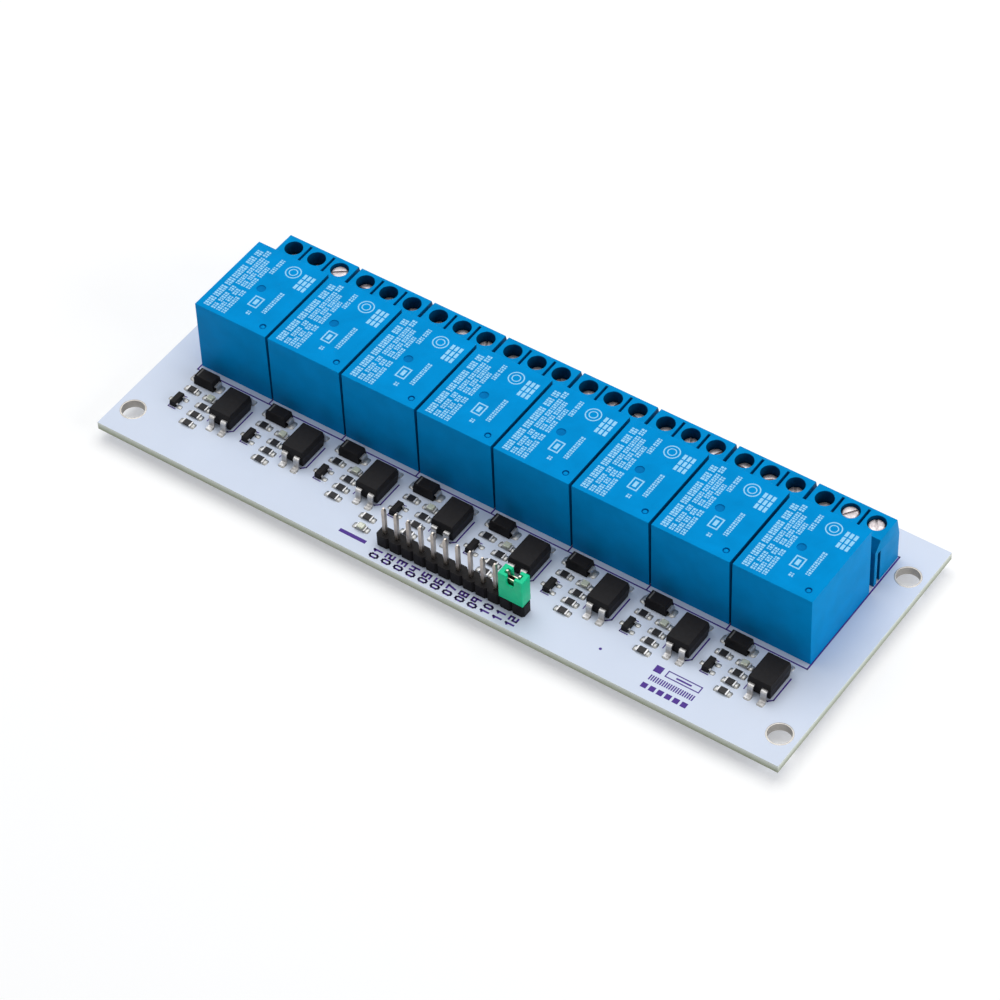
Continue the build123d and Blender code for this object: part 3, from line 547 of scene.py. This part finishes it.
def build_covers():
    """Eight covers with rounded edges, the moulding's gate mark and its vent."""
    top = BOARD_TOP + RELAY_HEIGHT
    bm = bmesh.new()
    add_box(bm, (-RELAY_WIDTH / 2, 0, BOARD_TOP), (RELAY_WIDTH / 2, RELAY_LENGTH, top))
    for vert in bm.verts:
        if vert.co.z > BOARD_TOP + RELAY_HEIGHT / 2:
            vert.co.x -= math.copysign(COVER_DRAFT, vert.co.x)
    block = mesh_from(bm, "cover_block")
    cutters = [sketch("cover_inside", add_box, (-RELAY_WIDTH / 2 + COVER_WALL, COVER_WALL, BOARD_TOP - 1),
                      (RELAY_WIDTH / 2 - COVER_WALL, RELAY_LENGTH - COVER_WALL, top - COVER_WALL))]
    for (x, y), radius, depth, sides in ((GATE_MARK, GATE_RADIUS, GATE_DEPTH, 32),
                                         (VENT_MARK, VENT_RADIUS, VENT_DEPTH, 24)):
        profile = [(0, top - depth), (radius, top - depth), (radius, top + 1), (0, top + 1)]
        cutters.append(sketch("sunk_mark", add_lathe, x, y, profile, sides))
    cover = carved("cover", block, cutters, bevel=0.3, segments=3, angle=35.0, foot=BOARD_TOP)
    nub = [(radius, top - NUB_DEPTH + rise) for radius, rise in NUB]
    bm = bmesh.new()
    for channel in range(CHANNELS):
        x = channel_x(channel)
        old_verts, old_faces = set(bm.verts), set(bm.faces)
        bm.from_mesh(cover)
        for face in bm.faces:
            if face not in old_faces:
                face.material_index = cover_material_with_painted_shade(face, channel)
        offset = Matrix.Translation((x * MM, RELAY_FRONT * MM, 0))
        bmesh.ops.transform(bm, matrix=offset, verts=[vert for vert in bm.verts if vert not in old_verts])
        old_verts = set(bm.verts)
        add_lathe(bm, x + VENT_MARK[0], RELAY_FRONT + VENT_MARK[1], nub, 20)
        bmesh.ops.scale(bm, vec=(MM, MM, MM), verts=[vert for vert in bm.verts if vert not in old_verts])
    mesh = bpy.data.meshes.new("relay_covers")
    bm.to_mesh(mesh)
    bm.free()
    shade_smooth_by_angle(mesh, 40.0)
    # The second and third materials are painted shade, on cover sides in the gaps between covers and in the sunk marks
    piece("relay_covers", mesh, [RELAY_BLUE, GAP_PAINTED_SHADE, MARK_PAINTED_SHADE], replaces=["relay_cases"])

def build_relays():
    """The covers with their plain white print, and the materials of what they hold."""
    build_covers()
    build_relay_print(BOARD_TOP + RELAY_HEIGHT + PRINT_LIFT)
    for node, material in (("relay_bases", BASE_DARK), ("relay_yokes", IRON), ("relay_cores", IRON),
                           ("relay_bobbins", BOBBIN), ("relay_windings", COPPER), ("relay_coil_pins", TIN),
                           ("relay_fixed_contacts", GOLDEN)):
        dress(node, material)
    for channel in range(CHANNELS):
        dress(f"relay_armature_{channel + 1}", IRON)

# Rows of plain printed bars on a cover: place across, height, start, and lengths of the groups
RELAY_ROWS = (
    (-6.5, 1.25, 0.9, (2.3, 2.9, 1.7, 3.6, 2.0, 1.5)),
    (-4.85, 0.85, 0.9, (1.6, 2.6, 1.5)),
    (-3.75, 0.85, 0.9, (2.3, 1.5, 1.7)),
    (-2.65, 0.85, 0.9, (1.2, 2.9, 1.3)),
    (-4.85, 0.85, 8.0, (2.7, 1.3, 3.0)),
    (-3.75, 0.85, 8.0, (1.5, 1.8, 3.2)),
    (-2.65, 0.85, 8.0, (3.0, 2.7)),
    (-4.95, 0.95, 16.0, (1.6,)),
    (-1.45, 0.85, 13.2, (1.6, 1.9)),
)
# Each bar's length along the row, and the share of the row's height at which it is parted
BARS = ((0.3, 0.42), (0.42, 0.58), (0.24, 0.5), (0.4, 0.36), (0.34, 0.62), (0.26, 0.46), (0.44, 0.54))
BAR_GAP, BAR_PARTING, GROUP_GAP = 0.15, 0.13, 0.42

def add_bars(bm, x, y, height, length, z, start):
    """A group of short printed bars side by side, each parted once across."""
    place, turn = 0.0, start
    while place < length - BAR_GAP:
        run, share = BARS[turn % len(BARS)]
        parting = x + share * height
        add_patch(bm, x, y + place, parting - BAR_PARTING / 2, y + place + run, z)
        add_patch(bm, parting + BAR_PARTING / 2, y + place, x + height, y + place + run, z)
        place += run + BAR_GAP
        turn += 1
    return turn

# Two rings as (outer radius, inner radius, sides), and an open square as rectangles, from a cover's front middle
RINGS_PLACE, RINGS = (2.2, 15.6), ((1.5, 1.28, 28), (0.85, 0.66, 20))
OPEN_SQUARE = ((0.1, 4.8, 0.36, 7.5), (1.84, 4.8, 2.1, 7.5), (0.36, 4.8, 1.84, 5.06), (0.36, 7.24, 1.84, 7.5),
               (0.75, 5.5, 1.45, 6.8))

def build_relay_print(z):
    """Plain rows of bars, an open square, two rings and a field of short bars."""
    bm = bmesh.new()
    for channel in range(CHANNELS):
        x, y = channel_x(channel), RELAY_FRONT
        turn = 0
        for offset, height, start, groups in RELAY_ROWS:
            place = start
            for length in groups:
                turn = add_bars(bm, x + offset, y + place, height, length, z, turn)
                place += length + GROUP_GAP
        for radius, inner, sides in RINGS:
            add_disc(bm, x + RINGS_PLACE[0], y + RINGS_PLACE[1], z, radius, sides, inner)
        for row in range(3):
            for column in range(3):
                low = y + 12.4 + column * 1.4
                add_patch(bm, x + 4.35 + row * 0.85, low, x + 4.92 + row * 0.85, low + 1.15, z)
        add_bars(bm, x + 3.4, y + 4.6, 0.85, 5.9, z, 2)
        for low_x, low_y, high_x, high_y in OPEN_SQUARE:
            add_patch(bm, x + low_x, y + low_y, x + high_x, y + high_y, z)
        add_bars(bm, x + 1.2, y + 2.9, 0.8, 1.1, z, 1)
    piece("relay_print", mesh_from(bm, "relay_print"), [WHITE_PRINT])

# Terminal blocks: places from the middle of a block's front edge, at the board's top

BLOCK_PROFILE = ((0, 0), (8.0, 0), (8.0, 6.3), (7.1, 10.2), (1.6, 10.2), (0, 8.3))
WELL_FLOOR = 5.7
# The chamber of the clamp and the wire's entry, each by its low and high corner, from the way's middle
CHAMBER, ENTRY = ((-1.975, 2.1, -1.0), (1.975, 7.1, 5.9)), ((-1.7, 6.8, 1.5), (1.7, 9.0, 4.8))
SLIT_HALF, SLIT_REACH, SLIT_DEPTH = 0.25, 6.5, 1.6
# The dovetail's reach, the front and back of its wide end and of its neck, its play, and the heights of tail and groove
DOVETAIL_REACH, DOVETAIL_WIDE, DOVETAIL_NECK, DOVETAIL_PLAY = 0.55, (0.8, 1.95), (0.975, 1.775), 0.08
TAIL_HEIGHT, GROOVE_HEIGHT = 7.32, 7.4

def dovetail(wide_x, neck_x, play):
    """Corners of a dovetail between its wide end and its neck."""
    return [(wide_x, DOVETAIL_WIDE[0] + play), (wide_x, DOVETAIL_WIDE[1] - play),
            (neck_x, DOVETAIL_NECK[1] - play), (neck_x, DOVETAIL_NECK[0] + play)]

def housing_material_with_painted_shade(face):
    """0 outside, 1 painted shade in the wells, 2 painted shade in the slits and the groove and on the front face."""
    place = face.center / MM
    top, half = BOARD_TOP + BLOCK_HEIGHT, BLOCK_LENGTH / 2
    sunk = place.z < top - 0.15
    reach = min(math.hypot(place.x - (way - 1) * WAY_PITCH, place.y - WELL_OFFSET) for way in range(WAYS))
    if sunk and reach < WELL_RADIUS + 0.02:
        return 1
    in_slit = sunk and abs(abs(place.x) - WAY_PITCH / 2) < SLIT_HALF + 0.01 and place.z > top - SLIT_DEPTH - 0.1
    in_groove = half - 0.57 < place.x < half - 0.1 and 0.7 < place.y < 2.05
    return 2 if in_slit or in_groove or face.normal.y < -0.3 else 0

def build_blocks():
    """Eight housings with wells, chambers, wire entries, slits, and a dovetail and its groove at the ends."""
    half, top, floor = BLOCK_LENGTH / 2, BOARD_TOP + BLOCK_HEIGHT, BOARD_TOP + WELL_FLOOR
    bm = bmesh.new()
    add_extrusion(bm, [(y, BOARD_TOP + z) for y, z in BLOCK_PROFILE], "x", -half, half)
    add_extrusion(bm, dovetail(-half - DOVETAIL_REACH, -half + 0.2, DOVETAIL_PLAY), "z", BOARD_TOP,
                  BOARD_TOP + TAIL_HEIGHT)
    solid = mesh_from(bm, "block_solid")
    cutters = []
    for way in range(WAYS):
        x = (way - 1) * WAY_PITCH
        well = [(0, floor), (WELL_RADIUS, floor), (WELL_RADIUS, top + 1), (0, top + 1)]
        cutters.append(sketch("well", add_lathe, x, WELL_OFFSET, well, 40))
        for low, high in (CHAMBER, ENTRY):
            cutters.append(sketch("hollow", add_box, (x + low[0], low[1], BOARD_TOP + low[2]),
                                  (x + high[0], high[1], BOARD_TOP + high[2])))
    for side in (-1, 1):
        x = side * WAY_PITCH / 2
        cutters.append(sketch("slit", add_box, (x - SLIT_HALF, -1, top - SLIT_DEPTH),
                              (x + SLIT_HALF, SLIT_REACH, top + 1)))
    cutters.append(sketch("groove", add_extrusion, dovetail(half - DOVETAIL_REACH, half + 0.01, 0), "z",
                          BOARD_TOP - 1, BOARD_TOP + GROOVE_HEIGHT))
    housing = carved("terminal_housing", solid, cutters, bevel=0.09, segments=2, angle=30.0, foot=BOARD_TOP)
    shade_smooth_by_angle(housing, 30.0)
    ends = {False: [], True: []}
    for face in housing.polygons:
        face.material_index = housing_material_with_painted_shade(face)
        place = face.center / MM
        if abs(place.x) > half - 0.02:
            ends[place.x > 0].append(face.index)
    for channel in range(CHANNELS):
        mesh = housing.copy()
        mesh.transform(Matrix.Translation((channel_x(channel) * MM, BLOCK_FRONT * MM, 0)))
        # Block ends that face a neighbouring block take the darker gap blue as painted shade
        ends_in_painted_shade = (ends[False] if channel > 0 else []) + (ends[True] if channel < CHANNELS - 1 else [])
        for index in ends_in_painted_shade:
            mesh.polygons[index].material_index = 2
        piece(f"terminal_housing_{channel + 1}", mesh, [BLOCK_BLUE, WELL_PAINTED_SHADE, GAP_PAINTED_SHADE],
              replaces=[f"terminal_block_{channel + 1}"])
    dress("terminal_clamps", NICKEL)

# Clamp screws: each one's turn in degrees, and the sizes of head, slot, shank and thread
SCREW_ANGLES = (20, -35, 37, 10, 50, -20, 75, 15, -60, 30, 5, -40, 40, 80, -15, 25, -70, 60, 0, 35, -57, 10, 55, -57)
HEAD_RADIUS, HEAD_HEIGHT, SLOT_HALF, SLOT_DEPTH = 1.5, 1.5, 0.2, 0.35
SHANK_RADIUS, SHANK_LENGTH, THREAD_PITCH, THREAD_DEPTH, THREAD_SIDES = 1.25, 3.7, 0.5, 0.16, 20

def screw_mesh():
    """A screw with a domed edge, a slot, and a true thread on the shank, its head standing on zero."""
    head, height = HEAD_RADIUS, HEAD_HEIGHT
    profile = [(0, 0), (head - 0.05, 0), (head, 0.06), (head, height - 0.3), (head - 0.1, height - 0.12),
               (head - 0.3, height - 0.02), (0, height)]
    solid = sketch("screw_head", add_lathe, 0, 0, profile, 40)
    slot = sketch("slot", add_box, (-3, -SLOT_HALF, height - SLOT_DEPTH), (3, SLOT_HALF, height + 1))
    bm = bmesh.new()
    bm.from_mesh(carved("screw_head_cut", solid, [slot], bevel=0.05, segments=2, angle=40.0))
    bmesh.ops.scale(bm, vec=(1 / MM, 1 / MM, 1 / MM), verts=bm.verts)
    rows = int(SHANK_LENGTH / THREAD_PITCH * 2)
    rings = []
    for row in range(rows + 1):
        z = -SHANK_LENGTH + (SHANK_LENGTH - 0.05) * row / rows
        ring = []
        for i in range(THREAD_SIDES):
            phase = (z / THREAD_PITCH + i / THREAD_SIDES) % 1.0
            radius = SHANK_RADIUS - THREAD_DEPTH * abs(2 * phase - 1)
            angle = 2 * math.pi * i / THREAD_SIDES
            ring.append((radius * math.cos(angle), radius * math.sin(angle), z))
        rings.append(ring)
    add_loft(bm, rings, top=False)
    screw = mesh_from(bm, "screw")
    shade_smooth_by_angle(screw, 35.0)
    return screw

def build_screws():
    screw = screw_mesh()
    for number, (x, y) in enumerate(way_places(), start=1):
        node = f"terminal_screw_{number:02d}"
        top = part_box(node)[1][2]
        mesh = screw.copy()
        turn = Matrix.Rotation(math.radians(SCREW_ANGLES[number - 1]), 4, "Z")
        mesh.transform(Matrix.Translation((x * MM, y * MM, top - HEAD_HEIGHT * MM)) @ turn)
        piece(f"clamp_screw_{number:02d}", mesh, [NICKEL], body=node, replaces=[node])

# Pin header and jumper

PIN_HALF, PIN_TIP, PIN_POINT, PIN_TOP = 0.32, 0.16, 0.5, BOARD_TOP + 8.6
JUMPER_WALL, JUMPER_ROOF = 0.45, 1.2
# The mouth on top of the jumper: its rims along and across, and its depth
MOUTH_X, MOUTH_Y, MOUTH_DEPTH = 0.85, 0.7, 1.5

def build_header():
    dress("header_strip", BLACK)
    rows = [(PIN_TIP, 0.0), (PIN_HALF, PIN_POINT), (PIN_HALF, PIN_TOP - PIN_POINT), (PIN_TIP, PIN_TOP)]
    bm = bmesh.new()
    for way in range(HEADER_WAYS):
        x = header_pin_x(way)
        add_loft(bm, [[(x + sx * size, HEADER_Y + sy * size, z) for sx, sy in CORNERS] for size, z in rows])
    piece("header_posts", mesh_from(bm, "header_posts"), [PIN_METAL], replaces=["header_pins"])

def build_jumper():
    """The cap with its rounded edges, its inside and mouth, and the notch through which its spring shows."""
    low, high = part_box("jumper_cap")
    low, high = [value / MM for value in low], [value / MM for value in high]
    middle, top = (low[0] + high[0]) / 2, high[2]
    notch = [(middle - 0.5, top - 2.1), (middle + 0.5, top - 2.1), (middle + 0.72, top - 1.7),
             (middle + 0.85, top + 1), (middle - 0.85, top + 1), (middle - 0.72, top - 1.7)]
    cutters = [
        sketch("jumper_inside", add_box, (low[0] + JUMPER_WALL, low[1] + JUMPER_WALL, low[2] - 1),
               (high[0] - JUMPER_WALL, high[1] - JUMPER_WALL, top - JUMPER_ROOF)),
        sketch("jumper_mouth", add_box, (low[0] + MOUTH_X, low[1] + MOUTH_Y, top - MOUTH_DEPTH),
               (high[0] - MOUTH_X, high[1] - MOUTH_Y, top + 1)),
        sketch("jumper_notch", add_extrusion, notch, "y", low[1] - 1, high[1] + 1),
    ]
    solid = sketch("jumper_solid", add_box, low, high)
    shell = carved("jumper_shell", solid, cutters, bevel=0.26, segments=4, angle=35.0)
    shade_smooth_by_angle(shell, 35.0)
    piece("jumper_shell", shell, [GREEN], body="jumper", replaces=["jumper_cap"])
    dress("jumper_contact", SPRING)

# Small parts on the board: places from the middle of a relay's front edge, heights over the board

OPTO_X, OPTO_Y = 4.15, -7.0
OPTO_HALF_X, OPTO_HALF_Y, OPTO_CORNER, OPTO_EDGE = 2.3, 3.25, 0.12, 0.1
OPTO_LOW, OPTO_PARTING, OPTO_HIGH = BOARD_TOP + 0.2, BOARD_TOP + 2.246, BOARD_TOP + 3.5
OPTO_LEG_X, OPTO_PAD_Y = 1.27, 4.6
# A leg's thickness and half width, and its middle line as (distance from the body's middle, height)
LEG_THICKNESS, LEG_HALF = 0.25, 0.55
LEG_LINE = ((3.2, 2.246), (3.5, 2.246), (3.68, 2.166), (3.80, 1.946), (3.86, 0.55), (3.92, 0.28), (4.05, 0.16),
            (4.3, 0.13), (5.0, 0.13))
DIODE_PLACE, TRANSISTOR_PLACE = (-4.1, -3.05), (-6.0, -9.4)
DIODE_LEAD = ((2.04, 1.1), (2.5, 1.1), (2.62, 1.02), (2.65, 0.9), (2.65, 0.0), (2.5, 0.0), (2.5, 0.85),
              (2.46, 0.95), (2.05, 0.95))
TRANSISTOR_LEG = ((0.6, 0.62), (0.78, 0.62), (0.92, 0.5), (0.96, 0.22), (1.02, 0.15), (1.2, 0.15), (1.2, 0.0),
                  (0.95, 0.0), (0.84, 0.12), (0.8, 0.42), (0.72, 0.5), (0.6, 0.5))
LAMP_PLACE, CHIP_PLACE, CHIP_STEP = (-1.15, -6.0), (-5.3, -5.9), 2.25
# Half length, half width and height of a chip part; the power lamp and its resistor
CHIP_HALF_X, CHIP_HALF_Y, CHIP_HEIGHT = 1.0, 0.625, 0.5
POWER_CHIP = (-BOARD_LENGTH / 2 + 53.2, BOARD_FRONT + 7.55)
POWER_LAMP = (-BOARD_LENGTH / 2 + 53.65, BOARD_FRONT + 5.1)
MOULD_DRAFT = math.tan(math.radians(6.0))

def add_mound(bm, x, y, half_x, half_y, rise):
    """A low pillow of solder on its pad."""
    rows = [(1.0, 0.0), (0.97, 0.05), (0.75, rise * 0.7), (0.4, rise)]
    rings = [[(x + px * half_x * share, y + py * half_y * share, BOARD_TOP + z) for px, py in octagon(1, 1, 0.35)]
             for share, z in rows]
    add_loft(bm, rings, bottom=False, smooth=True)

def add_leg(bm, x, y, end):
    """A gull-wing leg with rounded bends, as a thick ribbon along its bent line."""
    line = [(y + end * along, BOARD_TOP + z) for along, z in LEG_LINE]
    upper, lower = [], []
    for i, (py, pz) in enumerate(line):
        ay, az = line[max(0, i - 1)]
        by, bz = line[min(len(line) - 1, i + 1)]
        direction = Vector((by - ay, bz - az)).normalized()
        normal = Vector((-direction.y, direction.x)) * LEG_THICKNESS / 2
        upper.append((py + normal.x, pz + normal.y))
        lower.append((py - normal.x, pz - normal.y))
    add_extrusion(bm, upper + lower[::-1], "x", x - LEG_HALF, x + LEG_HALF)

def add_optocoupler(bm, legs, solder, x, y):
    """A moulded body with cut corners, drafted from its parting line, with a round mark and four legs."""
    upper_inset = (OPTO_HIGH - OPTO_PARTING) * MOULD_DRAFT
    rows = [(OPTO_LOW, (OPTO_PARTING - OPTO_LOW) * MOULD_DRAFT), (OPTO_PARTING - 0.03, 0.0), (OPTO_PARTING + 0.03, 0.0),
            (OPTO_HIGH - OPTO_EDGE, upper_inset), (OPTO_HIGH, upper_inset + OPTO_EDGE)]
    rings = []
    for z, inset in rows:
        outline = octagon(OPTO_HALF_X - inset, OPTO_HALF_Y - inset, OPTO_CORNER)
        rings.append([(x + px, y + py, z) for px, py in outline])
    add_loft(bm, rings)
    add_lathe(bm, x - 1.35, y - 2.1, [(0.36, OPTO_HIGH + 0.002), (0.30, OPTO_HIGH), (0, OPTO_HIGH + 0.001)], 20)
    for end in (-1, 1):
        for side in (-1, 1):
            add_leg(legs, x + side * OPTO_LEG_X, y, end)
            add_mound(solder, x + side * OPTO_LEG_X, y + end * OPTO_PAD_Y, 0.68, 0.6, 0.2)

def add_tapered(bm, x, y, half_x, half_y, low, high, round_off):
    """A moulded body with drafted sides and a softened top edge."""
    draft = MOULD_DRAFT * (high - low)
    rings = []
    for inset, z in ((0, low), (draft * 0.9, high - round_off), (draft + round_off, high)):
        rings.append([(x + sx * (half_x - inset), y + sy * (half_y - inset), z) for sx, sy in CORNERS])
    add_loft(bm, rings)

def add_diode(bm, legs, solder, x, y):
    """A moulded diode with its printed band, two folded leads and their solder."""
    add_tapered(bm, x, y, 2.15, 1.3, BOARD_TOP + 0.05, BOARD_TOP + 2.1, 0.06)
    add_line(bm, (x - 1.45, y - 0.75), (x - 1.45, y + 0.75), 0.28, BOARD_TOP + 2.105, 1)
    for end in (-1, 1):
        add_extrusion(legs, [(x + end * px, BOARD_TOP + pz) for px, pz in DIODE_LEAD], "y", y - 0.75, y + 0.75)
        add_mound(solder, x + end * 2.625, y, 0.85, 0.95, 0.2)

def add_transistor(bm, legs, solder, x, y):
    """A small transistor with three bent legs and their solder."""
    add_tapered(bm, x, y, 0.65, 1.45, BOARD_TOP + 0.12, BOARD_TOP + 1.15, 0.05)
    for side, offset in ((1, 0.95), (1, -0.95), (-1, 0.0)):
        outline = [(x + side * px, BOARD_TOP + pz) for px, pz in TRANSISTOR_LEG]
        add_extrusion(legs, outline, "y", y + offset - 0.21, y + offset + 0.21)
        add_mound(solder, x + side * 1.25, y + offset, 0.5, 0.45, 0.16)

def add_chip_ends(bm, solder, x, y, reach, height, rounding, rise):
    """The two tinned ends of a chip part, with solder on its pads."""
    for end in (-1, 1):
        left, right = sorted((x + end * (CHIP_HALF_X - reach), x + end * CHIP_HALF_X))
        add_box(bm, (left, y - CHIP_HALF_Y, BOARD_TOP), (right, y + CHIP_HALF_Y, BOARD_TOP + height), 2, rounding)
        add_mound(solder, x + end * (CHIP_HALF_X + 0.18), y, 0.52, 0.66, rise)

def add_chip(bm, solder, x, y):
    """A chip resistor: white ceramic, black glaze on top, tinned ends and solder on its pads."""
    half_x, half_y, z, top = CHIP_HALF_X, CHIP_HALF_Y, BOARD_TOP, BOARD_TOP + CHIP_HEIGHT
    add_box(bm, (x - half_x + 0.02, y - half_y + 0.02, z + 0.02), (x + half_x - 0.02, y + half_y - 0.02, top - 0.06))
    add_box(bm, (x - half_x + 0.3, y - half_y + 0.005, top - 0.3), (x + half_x - 0.3, y + half_y - 0.005, top), 1, 0.03)
    add_chip_ends(bm, solder, x, y, 0.33, CHIP_HEIGHT - 0.02, 0.04, 0.3)

def add_lamp(bm, solder, x, y):
    """A chip lamp: pale base, tinned ends and a clear domed lens."""
    half_x, half_y, z = CHIP_HALF_X, CHIP_HALF_Y, BOARD_TOP
    add_box(bm, (x - half_x + 0.03, y - half_y, z), (x + half_x - 0.03, y + half_y, z + 0.42), 0, 0.03)
    add_box(bm, (x - 0.65, y - half_y, z + 0.42), (x + 0.65, y + half_y, z + 0.85), 1, 0.16, 3)
    add_chip_ends(bm, solder, x, y, 0.3, 0.45, 0.03, 0.24)

def build_small_parts():
    """The small parts in groups, as their nodes are, and the solder on their pads."""
    optocouplers, transistors, diodes, leads, chips, lamps, solder = [bmesh.new() for _ in range(7)]
    for channel in range(CHANNELS):
        x, y = channel_x(channel), RELAY_FRONT
        lamp_x, lamp_y = x + LAMP_PLACE[0], y + LAMP_PLACE[1]
        add_optocoupler(optocouplers, leads, solder, x + OPTO_X, y + OPTO_Y)
        add_diode(diodes, leads, solder, x + DIODE_PLACE[0], y + DIODE_PLACE[1])
        add_transistor(transistors, leads, solder, x + TRANSISTOR_PLACE[0], y + TRANSISTOR_PLACE[1])
        add_chip(chips, solder, x + CHIP_PLACE[0], y + CHIP_PLACE[1])
        for row in (1, 2, 3):
            add_chip(chips, solder, lamp_x, lamp_y - row * CHIP_STEP)
        add_lamp(lamps, solder, lamp_x, lamp_y)
    add_chip(chips, solder, *POWER_CHIP)
    add_lamp(lamps, solder, *POWER_LAMP)
    for name, bm, materials, node, slot in (
            ("optocoupler_bodies", optocouplers, [BLACK], "optocouplers", "black_moulding"),
            ("transistor_bodies", transistors, [BLACK], "transistors", "black_moulding"),
            ("diode_bodies", diodes, [BLACK, BAND], "diodes", "black_moulding"),
            ("component_leads", leads, [TIN], "semiconductor_leads", "tinned"),
            ("chip_resistors", chips, [CERAMIC, GLAZE, TIN], "resistors", "black_moulding"),
            ("lamps", lamps, [CERAMIC, LENS, TIN], "indicator_leds", "lens")):
        piece(name, mesh_from(bm, name), materials, replaces=[node])
    piece("pad_solder", mesh_from(solder, "pad_solder"), [SOLDER])

# Stage, light and camera

# How much of the floor's look is plain white; the rest keeps the object's shadow
FLOOR_WHITE = 0.36

def camera_ray_white(nodes, links, shader_socket, target, share=1.0):
    """White, or a share of it, where the camera, a mirror or a clear piece sees it; elsewhere the plain shader."""
    ray = nodes.new("ShaderNodeLightPath")
    seen = ray.outputs["Is Camera Ray"]
    for kind in ("Is Glossy Ray", "Is Transmission Ray"):
        either = nodes.new("ShaderNodeMath")
        either.operation = "MAXIMUM"
        links.new(seen, either.inputs[0])
        links.new(ray.outputs[kind], either.inputs[1])
        seen = either.outputs[0]
    in_world = target.node.bl_idname == "ShaderNodeOutputWorld"
    white = nodes.new("ShaderNodeBackground" if in_world else "ShaderNodeEmission")
    white.inputs["Color"].default_value = (1, 1, 1, 1)
    white.inputs["Strength"].default_value = 1.0
    part = nodes.new("ShaderNodeMath")
    part.operation = "MULTIPLY"
    part.inputs[1].default_value = share
    links.new(seen, part.inputs[0])
    mix = nodes.new("ShaderNodeMixShader")
    links.new(part.outputs[0], mix.inputs[0])
    links.new(shader_socket, mix.inputs[1])
    links.new(white.outputs[0], mix.inputs[2])
    links.new(mix.outputs[0], target)

def build_stage():
    world = bpy.data.worlds.new("studio")
    bpy.context.scene.world = world
    world.use_nodes = True
    nodes, links = world.node_tree.nodes, world.node_tree.links
    background = nodes["Background"]
    background.inputs["Color"].default_value = (0.93, 0.96, 1.0, 1)
    background.inputs["Strength"].default_value = 0.3
    camera_ray_white(nodes, links, background.outputs[0], nodes["World Output"].inputs["Surface"])
    bpy.ops.mesh.primitive_plane_add(size=6.0, location=(0, 0, -0.0002))
    floor = bpy.context.object
    floor.name = "floor"
    material = bpy.data.materials.new("pale_floor")
    material.use_nodes = True
    shader = material.node_tree.nodes["Principled BSDF"]
    shader.inputs["Base Color"].default_value = (1, 1, 1, 1)
    shader.inputs["Roughness"].default_value = 0.9
    shader.inputs["Specular IOR Level"].default_value = 0.1
    nodes, links = material.node_tree.nodes, material.node_tree.links
    camera_ray_white(nodes, links, shader.outputs[0], nodes["Material Output"].inputs["Surface"], share=FLOOR_WHITE)
    floor.data.materials.append(material)

def lamp(name, place, size, power):
    """A soft rectangular lamp that looks at the board's middle."""
    data = bpy.data.lights.new(name, "AREA")
    data.shape = "RECTANGLE"
    data.size, data.size_y = size
    data.energy = power
    made = bpy.data.objects.new(name, data)
    bpy.context.scene.collection.objects.link(made)
    made.location = place
    made.rotation_euler = (-Vector(place)).to_track_quat("-Z", "Y").to_euler()

def build_lights():
    lamp("overhead", (-0.12, 0.23, 0.75), (0.9, 0.7), 5.8)
    lamp("right_fill", (0.80, 0.05, 0.35), (0.5, 0.4), 2.35)

CAMERA_PLACE = (0.27407, -0.37187, 0.50364)
CAMERA_TURN = (36.749, 47.457, -2.69)
FOCAL_PIXELS, IMAGE_PIXELS = 3958.82, 1000

def build_camera():
    """The camera that was fitted to the photograph: azimuth, elevation and roll in degrees."""
    azimuth, elevation, roll = [math.radians(value) for value in CAMERA_TURN]
    forward = Vector((-math.sin(azimuth) * math.cos(elevation), math.cos(azimuth) * math.cos(elevation),
                      -math.sin(elevation)))
    level = Vector((math.cos(azimuth), math.sin(azimuth), 0))
    upward = level.cross(forward)
    right = level * math.cos(roll) + upward * math.sin(roll)
    up = right.cross(forward)
    data = bpy.data.cameras.new("camera")
    data.sensor_width = 36.0
    data.sensor_height = 36.0
    data.sensor_fit = "HORIZONTAL"
    data.lens = FOCAL_PIXELS / IMAGE_PIXELS * data.sensor_width
    data.clip_start = 0.01
    made = bpy.data.objects.new("camera", data)
    bpy.context.scene.collection.objects.link(made)
    matrix = Matrix((right, up, -forward)).transposed().to_4x4()
    matrix.translation = Vector(CAMERA_PLACE)
    made.matrix_world = matrix
    bpy.context.scene.camera = made

build_board()
build_print()
build_relays()
build_blocks()
build_screws()
build_header()
build_jumper()
build_small_parts()
build_stage()
build_lights()
build_camera()
bpy.context.scene.view_settings.view_transform = "Standard"
bpy.context.view_layer.update()
